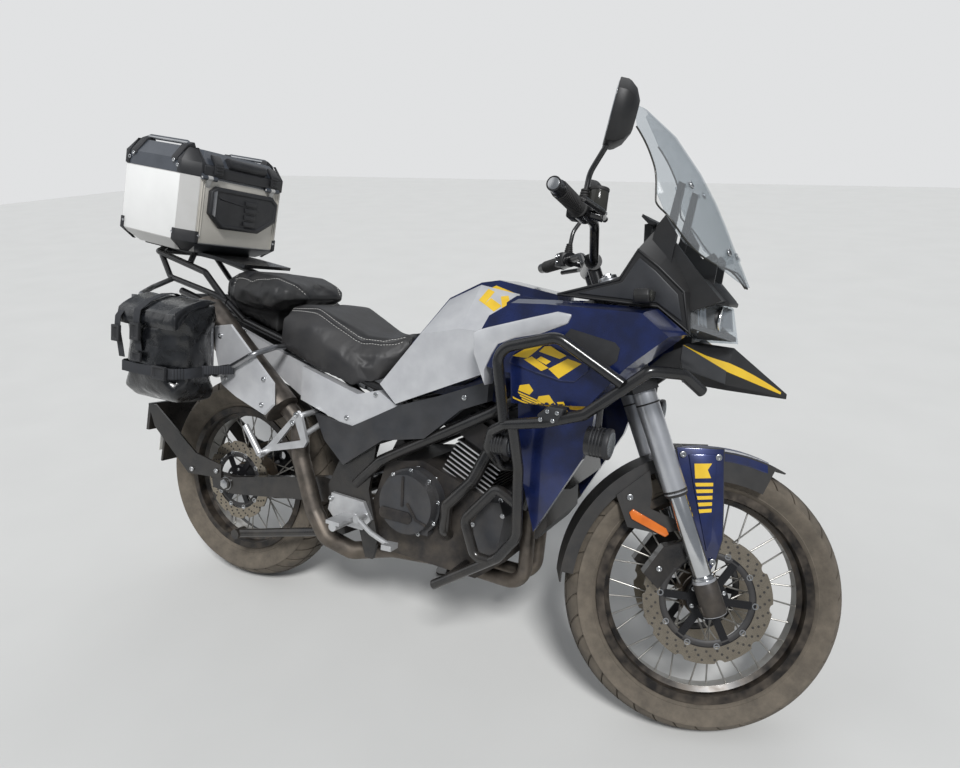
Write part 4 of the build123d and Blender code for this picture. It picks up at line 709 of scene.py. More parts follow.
def twoToneVinyl(name, sideHex, centreHex, attribute):
    # embossed seat vinyl: 2 mm leather grain, satin, paler dusty sides and a near-black centre
    material, tree, shader = newMaterial(name)
    place = addNode(tree, "ShaderNodeTexCoord").outputs["Object"]
    panel = addNode(tree, "ShaderNodeAttribute", attribute_name=attribute)
    cells = addNode(tree, "ShaderNodeTexVoronoi", {"Vector": place, "Scale": 1 / 0.0022},
                    feature="DISTANCE_TO_EDGE")
    cloud = addNode(tree, "ShaderNodeTexNoise", {"Vector": place, "Scale": 1 / 0.05, "Detail": 4.0})
    tone = addNode(tree, "ShaderNodeMix", {0: panel.outputs["Fac"], 6: linear(sideHex), 7: linear(centreHex)},
                   data_type="RGBA")
    light = addNode(tree, "ShaderNodeMapRange", {0: cloud.outputs[0], 1: 0.3, 2: 0.7, 3: 0.0, 4: 0.06})
    colour = addNode(tree, "ShaderNodeMix", {0: light.outputs[0], 6: tone.outputs[2], 7: linear("#8d8880")},
                     data_type="RGBA")
    tree.links.new(colour.outputs[2], shader.inputs["Base Color"])
    gloss = addNode(tree, "ShaderNodeMapRange", {0: cloud.outputs[0], 1: 0.3, 2: 0.7, 3: 0.44, 4: 0.58})
    tree.links.new(gloss.outputs[0], shader.inputs["Roughness"])
    relief = addNode(tree, "ShaderNodeBump", {"Height": cells.outputs["Distance"], "Distance": 0.0005,
                                              "Strength": 0.55})
    tree.links.new(relief.outputs[0], shader.inputs["Normal"])
    return material


finish["riderSeatVinyl"] = twoToneVinyl("riderSeatVinyl", "#242426", "#0f1014", "centre")
finish["passengerSeatVinyl"] = twoToneVinyl("passengerSeatVinyl", "#1b1c1e", "#0d0e12", "centre")
finish["whiteThread"] = makeFinish("whiteThread", "#d9d8d4", "#cfcdc8", 0.7, grain=0.6, bump=0.1, dust=0.1)

stitchSize = dict(length=5.5, radius=0.75, gap=8.0, rise=0.3)


def dropTo(surface, x, y, top=1200):
    hit, spot, normal, face = surface.ray_cast(mm(x, y, top), Vector((0, 0, -1)))
    return (spot, normal) if hit else (None, None)


def walk(points, gap):
    # evenly spaced points along straight runs
    found, rest = [], 0.0
    for a, b in zip(points, points[1:]):
        a, b = Vector(a), Vector(b)
        length = (b - a).length
        while rest <= length:
            found.append(a.lerp(b, rest / length))
            rest += gap
        rest -= length
    return found


def stitches(name, spots):
    # one stitch modelled as a rounded rod, and copied along a list of surface points and normals
    length, radius = stitchSize["length"] / 1000, stitchSize["radius"] / 1000
    bpy.ops.mesh.primitive_cylinder_add(vertices=6, radius=radius, depth=length)
    first = bpy.context.object
    bevelEdges(first, radius * 500, 1)
    copies = []
    for (spot, normal), (ahead, _) in zip(spots, spots[1:]):
        step = ahead - spot
        if step.length > 0.03 or step.length < 0.001:
            continue
        copy = bpy.data.objects.new(name, first.data.copy())
        bpy.context.scene.collection.objects.link(copy)
        copy.matrix_world = turned(spot + normal * stitchSize["rise"] / 1000, step)
        copies.append(copy)
    bpy.data.objects.remove(first)
    piece = joined(name, copies)
    bpy.ops.object.transform_apply(location=True, rotation=True, scale=True)
    return piece


# Rider seat: grey sides, dark centre, a sunk seam and two rows of stitches along it
riderSeat = clothCopy("riderSeatCover", "rider_seat", voxel=6, smoothing=14, shrink=3, cap=9)
riderSeam = [(196, 118), (240, 128), (300, 128), (380, 122), (450, 112), (520, 92), (575, 60)]


def seamSide(points, x):
    if x <= points[0][0]:
        return points[0][1]
    for (x0, y0), (x1, y1) in zip(points, points[1:]):
        if x <= x1:
            return y0 + (y1 - y0) * (x - x0) / (x1 - x0)
    return points[-1][1]


def sinkSeam(piece, points, deep, wide):
    # the cover is pulled in along its seam
    for vertex in piece.data.vertices:
        x, y, z = vertex.co * 1000
        if vertex.normal.z > 0.2:
            off = abs(abs(y) - seamSide(points, x))
            if off < wide:
                vertex.co -= vertex.normal * deep / 1000 * math.cos(off / wide * math.pi / 2) ** 2


subdivided(riderSeat)
sinkSeam(riderSeat, riderSeam, 3.2, 7)
markPanel(riderSeat, "centre", lambda p: 1.0 if abs(p.y) < seamSide(riderSeam, p.x) and p.z > 700 else 0.0)
seatRows = []
for side in (-1, 1):
    for off in (-5.5, 5.5):
        row = [(x, side * (y + off), 0) for x, y in riderSeam]
        seatRows.append([dropTo(riderSeat, p.x, p.y) for p in walk(row, stitchSize["gap"])])
riderStitches = joined("riderSeatStitches", [stitches("riderSeatStitches", [s for s in row if s[0]])
                                             for row in seatRows])
settle(riderStitches, bike, "chassis", finish["whiteThread"])
settle(riderSeat, bike, "chassis", finish["riderSeatVinyl"], 60)
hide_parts("rider_seat")

# Passenger seat: a shorter pad with a curved seam near its rear
passengerSeat = clothCopy("passengerSeatCover", "passenger_seat", voxel=6, smoothing=12, shrink=3, cap=8)
passengerSeam = [(-60, 84), (0, 108), (60, 112), (130, 110), (200, 96), (240, 70)]
subdivided(passengerSeat)
sinkSeam(passengerSeat, passengerSeam, 2.6, 7)
markPanel(passengerSeat, "centre", lambda p: 1.0 if abs(p.y) < seamSide(passengerSeam, p.x) and p.z > 880 else 0.0)
passengerRows = []
for side in (-1, 1):
    row = [(x, side * (y + 5.5), 0) for x, y in passengerSeam]
    passengerRows.append([dropTo(passengerSeat, p.x, p.y) for p in walk(row, stitchSize["gap"])])
rearSeam = [(-28, -96, 0), (-46, -60, 0), (-54, 0, 0), (-46, 60, 0), (-28, 96, 0)]
passengerRows.append([dropTo(passengerSeat, p.x, p.y) for p in walk(rearSeam, stitchSize["gap"])])
passengerStitches = joined("passengerSeatStitches", [stitches("passengerSeatStitches", [s for s in row if s[0]])
                                                     for row in passengerRows])
settle(passengerStitches, bike, "chassis", finish["whiteThread"])
settle(passengerSeat, bike, "chassis", finish["passengerSeatVinyl"], 60)
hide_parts("passenger_seat")
print("seats done")


# Forms for bags, straps and housings
def mirrored(piece, name, back=0.0):
    # the same piece for the left side, moved back along the machine
    copy = bpy.data.objects.new(name, piece.data.copy())
    bpy.context.scene.collection.objects.link(copy)
    copy.matrix_world = Matrix.Translation((-back / 1000, 0, 0)) @ Matrix.Diagonal((1, -1, 1, 1))
    onlySelect(copy)
    bpy.ops.object.transform_apply(location=True, rotation=True, scale=True)
    edit(copy, lambda: bpy.ops.mesh.normals_make_consistent(inside=False))
    return copy


def loftRings(name, rings, bevel=0):
    # a skin over rings of equal numbers of points, closed at both ends
    count = len(rings[0])
    faces = [(k * count + i, k * count + (i + 1) % count, (k + 1) * count + (i + 1) % count, (k + 1) * count + i)
             for k in range(len(rings) - 1) for i in range(count)]
    faces += [tuple(range(count)), tuple(range(len(rings) * count - 1, (len(rings) - 1) * count - 1, -1))]
    data = bpy.data.meshes.new(name)
    data.from_pydata([mm(*point) for ring in rings for point in ring], [], faces)
    piece = bpy.data.objects.new(name, data)
    bpy.context.scene.collection.objects.link(piece)
    edit(piece, lambda: bpy.ops.mesh.normals_make_consistent(inside=False))
    if bevel:
        bevelEdges(piece, bevel)
    return piece


def strap(name, path, thick, width, start, across, bevel=0.5):
    # webbing along a flat path: across "x" runs in y, z and across "z" runs in x, y
    outer = []
    for i, point in enumerate(path):
        before, after = path[max(i - 1, 0)], path[min(i + 1, len(path) - 1)]
        run = Vector((after[0] - before[0], after[1] - before[1])).normalized()
        outer.append((point[0] - run.y * thick, point[1] + run.x * thick))
    outline = list(path) + outer[::-1]
    if across == "x":
        return flatForm(name, [(start, u, v) for u, v in outline], (width, 0, 0), bevel)
    return flatForm(name, [(u, v, start) for u, v in outline], (0, 0, width), bevel)


def pushFaces(piece, wanted, steps):
    # inset and push the faces that wanted picks, once for each (inset, depth) in mm
    pickFaces(piece, wanted)
    for thickness, depth in steps:
        bpy.ops.mesh.inset(thickness=thickness / 1000, depth=depth / 1000, use_even_offset=True)
    bpy.ops.object.mode_set(mode="OBJECT")


def buckle(name, centre, size, thick):
    # a side-release buckle that faces the right side, with a recessed middle
    x, y, z = centre
    wide, high = size[0] / 2, size[1] / 2
    corners = [(x - wide, y, z - high), (x + wide, y, z - high), (x + wide, y, z + high), (x - wide, y, z + high)]
    piece = flatForm(name, corners, (0, -thick, 0))
    pushFaces(piece, lambda face: face.normal.y < -0.99, [(size[1] * 0.14, 0), (size[1] * 0.05, -thick * 0.5)])
    bevelEdges(piece, 1.2)
    return piece


def pvcCloth(name):
    # coated tarpaulin: black, glossy, long soft wrinkles, and a blue-grey tone along the folds that is partly wear
    # and partly a painted sheen
    material, tree, shader = newMaterial(name)
    place = addNode(tree, "ShaderNodeTexCoord").outputs["Object"]
    fold = addNode(tree, "ShaderNodeTexNoise", {"Vector": place, "Scale": 1 / 0.028, "Detail": 3.0,
                                                "Distortion": 0.6})
    weave = addNode(tree, "ShaderNodeTexNoise", {"Vector": place, "Scale": 1 / 0.0016, "Detail": 1.0})
    # the blue-grey tone: partly wear, partly a painted sheen standing in for reflections on the glossy cloth
    wearAndSheen = addNode(tree, "ShaderNodeMapRange", {0: fold.outputs[0], 1: 0.42, 2: 0.7, 3: 0.0, 4: 0.2})
    tone = addNode(tree, "ShaderNodeMix", {0: wearAndSheen.outputs[0], 6: linear("#0b0c0e"), 7: linear("#262a32")},
                   data_type="RGBA")
    tree.links.new(tone.outputs[2], shader.inputs["Base Color"])
    gloss = addNode(tree, "ShaderNodeMapRange", {0: fold.outputs[0], 1: 0.3, 2: 0.7, 3: 0.2, 4: 0.38})
    tree.links.new(gloss.outputs[0], shader.inputs["Roughness"])
    mixed = addNode(tree, "ShaderNodeMath", {0: weave.outputs[0], 1: 0.06, 2: fold.outputs[0]},
                    operation="MULTIPLY_ADD")
    relief = addNode(tree, "ShaderNodeBump", {"Height": mixed.outputs[0], "Distance": 0.006, "Strength": 0.55})
    tree.links.new(relief.outputs[0], shader.inputs["Normal"])
    shader.inputs["Coat Weight"].default_value = 0.5
    shader.inputs["Coat Roughness"].default_value = 0.12
    return material


def webbing(name):
    # woven polypropylene strap: 1.6 mm ribs across it, matte black-grey
    material, tree, shader = newMaterial(name)
    place = addNode(tree, "ShaderNodeTexCoord").outputs["Object"]
    ribs = addNode(tree, "ShaderNodeTexWave", {"Vector": place, "Scale": 1 / 0.0016 / 6.28,
                                               "Distortion": 0.4})
    tone = addNode(tree, "ShaderNodeMix", {0: ribs.outputs[0], 6: linear("#1c1d20"), 7: linear("#34363b")},
                   data_type="RGBA")
    tree.links.new(tone.outputs[2], shader.inputs["Base Color"])
    shader.inputs["Roughness"].default_value = 0.72
    relief = addNode(tree, "ShaderNodeBump", {"Height": ribs.outputs[0], "Distance": 0.0004, "Strength": 0.7})
    tree.links.new(relief.outputs[0], shader.inputs["Normal"])
    return material


finish["coatedTarpaulin"] = pvcCloth("coatedTarpaulin")
finish["strapWebbing"] = webbing("strapWebbing")

# Saddlebags: blown-up bodies, rolled flaps, straps and buckles; the left bag hangs 120 mm further back
leftBack = 120
bags = clothCopy("saddlebagBodies", "saddlebags", voxel=8, smoothing=16, shrink=6, cap=13)
wrinkles = bpy.data.textures.new("bagWrinkles", "CLOUDS")
wrinkles.noise_scale = 0.075
creases = bags.modifiers.new("creases", "DISPLACE")
creases.texture = wrinkles
creases.strength = 0.011
creases.mid_level = 0.5
applyModifiers(bags)
subdivided(bags)
settle(bags, bike, "chassis", finish["coatedTarpaulin"], 60)
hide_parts("saddlebags")

flapLine = [(-292, 900), (-318, 909), (-352, 907), (-398, 890), (-429, 868), (-434, 846), (-431, 826), (-420, 828),
            (-421, 848), (-414, 862), (-388, 876), (-345, 893), (-312, 895)]
flapXs = [-113, -108, -70, -20, 30, 80, 106, 111]
flapRings = []
for i, x in enumerate(flapXs):
    grow = 0 if 0 < i < len(flapXs) - 1 else 3
    sag = 2.5 * math.sin(i * 2.1)
    flapRings.append([(x, y + (grow if y < -360 else -grow), z + sag - (3 if grow else 0)) for y, z in flapLine])
flap = loftRings("saddlebagFlapRight", flapRings, 2.5)
flapSoft = flap.modifiers.new("soft", "SUBSURF")
flapSoft.levels = flapSoft.render_levels = 2
applyModifiers(flap)
creases = flap.modifiers.new("creases", "DISPLACE")
creases.texture = wrinkles
creases.strength = 0.006
applyModifiers(flap)
flapLeft = mirrored(flap, "saddlebagFlapLeft", leftBack)
for piece in (flap, flapLeft):
    settle(piece, bike, "chassis", finish["coatedTarpaulin"], 60)

strapParts = [
    strap("overStrap", [(-300, 906), (-322, 914), (-356, 912), (-402, 895), (-437, 870), (-441, 845), (-438, 800),
                        (-432, 760)], 2, 25, -34, "x"),
    strap("sideStrap", [(-424, 868), (-441, 846), (-443, 815), (-434, 770), (-428, 735)], 2, 22, -104, "x"),
    strap("beltStrap", [(104, -300), (111, -340), (110, -392), (96, -423), (60, -431), (-40, -433), (-92, -428),
                        (-108, -410), (-112, -360), (-112, -300)], -2, 28, 698, "z"),
    strap("rackStrap", [(104, -345), (130, -300), (150, -262), (120, -255)], 2, 24, 706, "z"),
]
buckleParts = [
    buckle("overBuckle", (-21, -439, 812), (34, 46), 9),
    buckle("sideBuckle", (-93, -441, 800), (30, 44), 9),
    buckle("beltBuckle", (62, -431, 712), (50, 36), 9),
    buckle("ladderLock", (-21, -434, 744), (32, 24), 7),
]
for name, parts, finishName in (("saddlebagStraps", strapParts, "strapWebbing"),
                                ("saddlebagBuckles", buckleParts, "filledNylon")):
    right = joined(name + "Right", parts)
    left = mirrored(right, name + "Left", leftBack)
    for piece in (right, left):
        settle(piece, bike, "chassis", finish[finishName])
print("saddlebags done")

# Top case, drawn level: corner guards, rivets, sheets, hem and front pad, then the lid's trim, handles, screws
# and hinge straps
case = dict(front=-132, back=-444, half=205, floor=1026, seam=1251, band=1291, top=1330, corner=38, inset=40,
            rise=32, sheet=(1060, 1249))
# painted light on one case plate: the side sheets are painted whiter as the sunlit sides, and the front and back
# sheets paler beige as the sides in shade
finish["paintedSunlitCaseSheet"] = makeFinish("paintedSunlitCaseSheet", "#f0f0ee", "#e8e8e6", 0.42, metallic=0.1, grain=0.8,
                                      bump=0.01, vary=0.04, dust=0.04, blotch=150)
finish["paintedShadeCaseSheet"] = makeFinish("paintedShadeCaseSheet", "#cfcbc2", "#c5c1b8", 0.45, metallic=0.2, grain=0.8, bump=0.01,
                                     vary=0.04, dust=0.06, blotch=150)


def cornerPlan(signX, signY, grow, reach):
    # the plan of a chamfered case corner, grow outside the wall and reach along both sides
    x = case["front"] if signX > 0 else case["back"]
    y = signY * case["half"]
    c = case["corner"]
    return [(x + signX * grow, y - signY * (c + reach)), (x + signX * grow, y - signY * (c - grow * 0.4)),
            (x - signX * (c - grow * 0.4), y + signY * grow), (x - signX * (c + reach), y + signY * grow)]


guards, guardSpots = [], []
for signX in (-1, 1):
    for signY in (-1, 1):
        rings = []
        for z, inset, grow in ((case["floor"] + 2, case["inset"] - 2, 3.5), (case["floor"] + case["rise"], 0, 4),
                               (case["floor"] + case["rise"] + 34, 0, 3.5)):
            outside = cornerPlan(signX, signY, grow - inset, 12)
            inside = cornerPlan(signX, signY, -2 - inset, 12)
            rings.append([(x, y, z) for x, y in outside + inside[::-1]])
        guards.append(loftRings("caseGuard", rings, 1.5))
        for dx, dy, way in ((-signX * 48, 0, (0, signY, 0)), (0, -signY * 48, (signX, 0, 0))):
            x = case["front"] if signX > 0 else case["back"]
            guardSpots.append(((x + dx + way[0] * 3.5, signY * case["half"] + dy + way[1] * 3.5,
                                case["floor"] + case["rise"] + 22), way))
settle(joined("topCaseGuards", guards), topCase, "chassis", finish["filledNylon"])
settle(screws("topCaseRivets", guardSpots, 4, 2), topCase, "chassis", finish["zincPlatedSteel"])

low, high = case["sheet"]
sheets = onSides("caseSideSheet", [(-404, low), (-172, low), (-172, high), (-404, high)],
                 (case["half"], case["half"] + 1.2), 0.4)
fronts = []
for x, out in ((case["front"], 1), (case["back"], -1)):
    fronts.append(flatForm("caseFrontSheet", [(x, -165, low), (x, 165, low), (x, 165, high), (x, -165, high)],
                           (out * 1.2, 0, 0), 0.4))
    for y in (-158, -150, 150, 158):
        fronts.append(flatForm("caseRib", [(x, y - 1.4, low + 2), (x, y + 1.4, low + 2), (x, y + 1.4, high - 1),
                                           (x, y - 1.4, high - 1)], (out * 3.0, 0, 0), 0.5, 1))
# the side sheets carry the painted sunlight, the front and back sheets the painted shade
settleAll(topCase, "chassis", (("topCaseSideSheets", sheets, "case_metal", "paintedSunlitCaseSheet"),
                               ("topCaseFrontSheets", fronts, "case_metal", "paintedShadeCaseSheet")))
hemTop, hemFoot = case["front"] + 0.5, case["front"] - case["inset"] + 1
caseHem = flatForm("topCaseHem", [(hemTop, -166, 1056), (hemTop, 166, 1056), (hemFoot, 128, 1027),
                                  (hemFoot, -128, 1027)], (1.6, 0, -1.2), 0.4)
settle(caseHem, topCase, "chassis", finish["satinGreyAbs"])

pad = dict(x=-131, ring=[(-134, 1216), (-134, 1150), (-84, 1108), (70, 1108), (146, 1152), (146, 1212), (118, 1232),
                         (-112, 1232)])
padBase = flatForm("topCasePad", [(pad["x"], y, z) for y, z in pad["ring"]], (14, 0, 0))
pushFaces(padBase, lambda face: face.normal.x > 0.99, [(7, 4), (5, 0), (3, -4), (22, 5)])
bevelEdges(padBase, 2)
padRibs = [flatForm("padRib", [(-112, -2, z), (-112, 44, z), (-112, 44, z + 15), (-112, -2, z + 15)], (5, 0, 0), 2)
           for z in (1126, 1147, 1168, 1189)]
padStrip = flatForm("topCasePadStrip", [(-114, -128, 1148), (-114, -117, 1142), (-114, -117, 1220),
                                        (-114, -128, 1216)], (4, 0, 0), 1)
settle(joined("topCasePad", [padBase] + padRibs), topCase, "chassis", finish["filledNylon"])
settle(padStrip, topCase, "chassis", finish["brushedStainless"])

lidParts, lidBars, lidSpots = [], [], []
for side in (-1, 1):
    y = side * (case["half"] - 32 - 14)
    for x0, x1 in ((-388, -362), (-214, -188)):
        rings = []
        for x in (x0, x1):
            rings.append([(x, side * 207, 1284), (x, side * 207, 1294), (x, side * 176, 1334),
                          (x, y - side * 8, 1346), (x, y - side * 16, 1330), (x, side * 172, 1326)])
        lidParts.append(loftRings("handleFoot", rings, 2))
        lidSpots.append((((x0 + x1) / 2, side * 207, 1284), (0, side, 0.2)))
    lidBars.append(pipe("handleBar", [(-372, y, 1341), (-204, y, 1341)], 6, smooth=False))
    for signX in (-1, 1):
        rings = []
        for z, inset in ((case["seam"] + 2, 0), (case["band"], 0), (case["top"] + 1, 31)):
            outside = cornerPlan(signX, side, 3.5 - inset, 14 - inset * 0.2)
            inside = cornerPlan(signX, side, -2 - inset, 14 - inset * 0.2)
            rings.append([(x, yy, z) for x, yy in outside + inside[::-1]])
        lidParts.append(loftRings("lidCorner", rings, 1.5))
        lidSpots.append(((case["front"] + 1 if signX > 0 else case["back"], side * 150, 1274), (signX, 0, 0)))
        lidSpots.append(((-184 if signX > 0 else -392, side * 206, 1272), (0, side, 0)))
lidParts.append(flatForm("lidLip", [(-133, -160, 1256), (-124, -160, 1258), (-124, -160, 1284), (-150, -160, 1304),
                                    (-160, -160, 1316), (-165, -160, 1312), (-136, -160, 1290)], (0, 320, 0), 2))
lidParts.append(drum("lidRoll", (-140, -66, 1305), (-140, 88, 1305), 17, 3))
settleAll(topCase, "top_case_lid", (("topCaseLidTrim", lidParts, "lid_metal", "filledNylon"),
                                    ("topCaseLidHandles", lidBars, "lid_metal", "zincPlatedSteel")))
settle(screws("topCaseLidScrews", lidSpots, 6, 3), topCase, "top_case_lid", finish["zincPlatedSteel"])
hingeStraps = []
for y in (-112, 122):
    hingeStraps.append(flatForm("hingeStrap", [(-124, y - 16, 1262), (-117, y - 16, 1264), (-117, y - 16, 1296),
                                               (-136, y - 16, 1318), (-146, y - 16, 1322),
                                               (-146, y - 16, 1312), (-124, y - 16, 1290)],
                                (0, 32, 0), 2.5))
    for z in (1268, 1277, 1286):
        hingeStraps.append(flatForm("hingeRib", [(-118, y - 12, z), (-114, y - 12, z + 1), (-114, y - 12, z + 4),
                                                 (-118, y - 12, z + 5)], (0, 24, 0), 0.8, 1))
settle(joined("topCaseLidStraps", hingeStraps), topCase, "top_case_lid", finish["filledNylon"])
print("top case done")


# Thin panels and vinyl laid on the bodywork
hugFrom = 420  # where they start before they are pressed on, out from the middle plane


def hug(name, outline, side, target, place, lift=0.4, thick=0.8, spacing=14, bevel=0.3):
    # a panel with an outline of x, z points in side view, laid on a body panel
    bpy.ops.mesh.primitive_circle_add(vertices=len(outline), fill_type="NGON", radius=0.1)
    piece = bpy.context.object
    piece.name = name
    for vertex, (x, z) in zip(piece.data.vertices, outline):
        vertex.co = mm(x, side * hugFrom, z)
    wide = max(p[0] for p in outline) - min(p[0] for p in outline)

    def divide():
        bpy.ops.mesh.quads_convert_to_tris()
        bpy.ops.mesh.subdivide(number_cuts=max(1, int(wide / spacing)))

    edit(piece, divide)
    piece.matrix_world = place
    press = piece.modifiers.new("press", "SHRINKWRAP")
    press.target = nodes[target]
    press.wrap_method = "PROJECT"
    press.use_project_y = True
    press.use_negative_direction = side > 0
    press.use_positive_direction = side < 0
    applyModifiers(piece)
    # an outline that misses the panel anywhere is left out
    if any(abs(vertex.co.y) > (hugFrom - 0.5) / 1000 for vertex in piece.data.vertices):
        bpy.data.objects.remove(piece)
        return None
    for vertex in piece.data.vertices:
        vertex.co.y += side * (lift + thick) / 1000
    # the faces look outwards before they get their thickness
    outward = sum(face.normal.y * face.area for face in piece.data.polygons) * side
    if outward < 0:
        edit(piece, bpy.ops.mesh.flip_normals)
    wall = piece.modifiers.new("wall", "SOLIDIFY")
    wall.thickness = (thick + lift + 0.8) / 1000
    wall.offset = -1
    applyModifiers(piece)
    if bevel and thick > 1.5:
        bevelEdges(piece, bevel, 2, 50)
    piece.matrix_world = Matrix.Identity(4)
    return piece


def hugAll(name, table, target, slotName, finishName, **sizes):
    # each outline of the table on both sides
    laid = [hug(name, outline, side, target, bike, **sizes) for outline in table for side in (-1, 1)]
    made = [piece for piece in laid if piece]
    settle(joined(name, made), bike, "chassis", finish[finishName])


hugAll("shroudBadgePanel", [[(970, 851), (980, 875), (1028, 908), (1154, 872), (1157, 858), (1128, 829), (1097, 826),
                             (1040, 836)]], "shrouds", "blue_paint", "navyLacquer", thick=5, bevel=1.6)
# painted shade: a black panel in the shroud's recess, darker than its own dark navy so that it reads as a recess in
# shade
hugAll("shroudRecessShade", [[(1086, 917), (1106, 942), (1206, 924), (1218, 912), (1215, 886), (1184, 856), (1160, 868),
                       (1158, 880)]], "shrouds", "blue_paint", "filledNylon", thick=1.2)
hugAll("shroudBlocks", [[(978, 866), (1027, 900), (1048, 899), (1014, 866)],
                        [(1006, 862), (1024, 871), (1066, 851), (1050, 842)],
                        [(1052, 897), (1064, 899), (1104, 883), (1090, 874), (1040, 884)],
                        [(1066, 849), (1108, 877), (1140, 870), (1092, 831)],
                        [(1036, 866), (1046, 874), (1070, 866), (1060, 857)]],
       "shrouds", "blue_paint", "yellowVinyl", lift=5.6, thick=0.6)
stripeTable = [[(1000, 802), (1022, 808), (1034, 795), (1026, 784), (998, 790)],
               [(1048, 784), (1072, 791), (1088, 772), (1078, 762), (1044, 770)],
               [(1092, 778), (1107, 781), (1116, 767), (1146, 768), (1150, 760), (1106, 756)]]
for x0, z0, wide in ((960, 795, 42), (997, 787, 54), (1043, 767, 56)):
    for i in range(4):
        x, z = x0 + 5 * i, z0 - 6.4 * i
        drop = wide * 0.24
        stripeTable.append([(x, z), (x + wide, z - drop), (x + wide + 2, z - drop - 3.6), (x + 2, z - 3.6)])
hugAll("shroudStripes", stripeTable, "shrouds", "blue_paint", "yellowVinyl", thick=0.5)
wings = onSides("tankWing", [(871, 906), (885, 915), (910, 924), (999, 953), (1072, 976), (1106, 973), (1098, 951),
                             (1038, 922), (977, 905), (938, 887), (924, 862), (910, 826), (913, 786), (878, 857)],
                (196, 249), 5)
settle(joined("tankWings", wings), bike, "chassis", finish["silverLacquer"])
tankBlocks = [[(806, 976), (814, 1006), (834, 1000), (826, 968)], [(826, 968), (834, 984), (872, 968), (860, 953)],
              [(814, 1006), (832, 1016), (898, 998), (886, 984)], [(856, 990), (874, 994), (896, 966), (878, 960)]]
hugAll("tankVinyl", tankBlocks, "fuel_tank", "blue_paint", "yellowVinyl", thick=0.5)
hugAll("tankBlocks", tankBlocks, "tank_side_panels", "silver_paint", "yellowVinyl", thick=0.5)
print("shroud and tank panels done")


def boltsOn(target, spots, place, sides=(-1, 1), sink=0.4):
    # spots of x, z in side view, carried in from the side to where they meet a CAD part
    part = nodes[target]
    inward = part.matrix_world.inverted() @ place
    found = []
    for side in sides:
        for x, z in spots:
            start, way = inward @ mm(x, side * 450, z), inward.to_3x3() @ Vector((0, -side, 0))
            hit, point = part.ray_cast(start, way)[:2]
            if hit:
                y = (inward.inverted() @ point).y * 1000
                found.append(((x, y - side * sink, z), (0, side, 0)))
    return found


def onWheel(centre, radius, degrees, y):
    # a point at radius and degrees round a wheel's axle, 0 degrees being ahead
    angle = math.radians(degrees)
    return (centre[0] + radius * math.cos(angle), y, centre[2] + radius * math.sin(angle))


def hollowStud(radius, height, inset, sides=10):
    # a low round rim with a sunk middle
    piece = drum("stud", (0, 0, 0), (0, 0, height), radius, 0, sides)
    pushFaces(piece, lambda face: face.normal.z > 0.9, [(inset, 0), (0.2, -height * 0.8)])
    return piece


# Brake discs: black studs as painted shade for the dark insides of the drilled holes, the bobbins that float the
# band, and the carrier screws
discs = {
    "front": dict(centre=frontCentre, faces=((-68.6, -1), (68.6, 1)), rows=(121, 131, 141), bobbin=110, screw=40,
                  body="front_wheel", place=fork, count=30),
    "rear": dict(centre=rearCentre, faces=((-80.6, -1),), rows=(100, 109, 117), bobbin=88, screw=34,
                 body="rear_wheel", place=bike, count=24),
}
for end, disc in discs.items():
    holes, bobbins, carrierScrews = [], [], []
    step = 360 / disc["count"]
    for y, out in disc["faces"]:
        for k in range(disc["count"]):
            for row, radius in enumerate(disc["rows"]):
                holes.append((onWheel(disc["centre"], radius, step * k + 4 * row, y), (0, out, 0)))
        for k in range(10):
            bobbins.append((onWheel(disc["centre"], disc["bobbin"], 36 * k, y - out), (0, out, 0)))
        for k in range(6):
            carrierScrews.append((onWheel(disc["centre"], disc["screw"], 60 * k + 30, y - out), (0, out, 0)))
    rings = []
    for y, out in disc["faces"]:
        bpy.ops.mesh.primitive_torus_add(major_radius=(disc["bobbin"] - 6) / 1000, minor_radius=0.008,
                                         major_segments=72, minor_segments=8, rotation=(math.pi / 2, 0, 0),
                                         location=mm(disc["centre"][0], y - out * 2.4, disc["centre"][2]))
        ring = bpy.context.object
        ring.scale = (1, 1, 0.32)
        bpy.ops.object.transform_apply(location=True, rotation=True, scale=True)
        rings.append(ring)
    settle(joined(end + "DiscCarriers", rings), disc["place"], disc["body"], finish["filledNylon"])
    # painted shade: black studs where the drilled holes look dark
    shadedHoles = copies(end + "DiscHoleShades", hollowStud(3.1, 0.5, 0.3, 8), holes)
    settle(shadedHoles, disc["place"], disc["body"], finish["blackEpdm"])
    floats = copies(end + "DiscBobbins", hollowStud(7.5, 2.2, 2.4, 16), bobbins)
    settle(floats, disc["place"], disc["body"], finish["zincPlatedSteel"])
    carrier = screws(end + "CarrierScrews", carrierScrews, 5.5, 4, sides=12)
    settle(carrier, disc["place"], disc["body"], finish["zincPlatedSteel"])
print("discs done")

# Fork: chrome legs, seals, collars, cast feet, leg caps with their adjusters, and the axle's washers and nuts
forkRun = Vector((math.sin(rake), 0, -math.cos(rake)))
forkPart = {"top": Vector((1091.6, 0, 1035.4)), "half": 105, "outerEnd": 515, "footStart": 720, "footEnd": 803}


def onFork(reach, side):
    # a point on a leg's middle line, reach below its top
    point = forkPart["top"] + forkRun * reach
    return (point.x, side * forkPart["half"], point.z)


def legDrum(name, side, first, last, radius, bevel=1.0, sides=40, taper=1.0):
    # a round form along one leg, between two reaches
    return drum(name, onFork(first, side), onFork(last, side), radius, bevel, sides, taper)


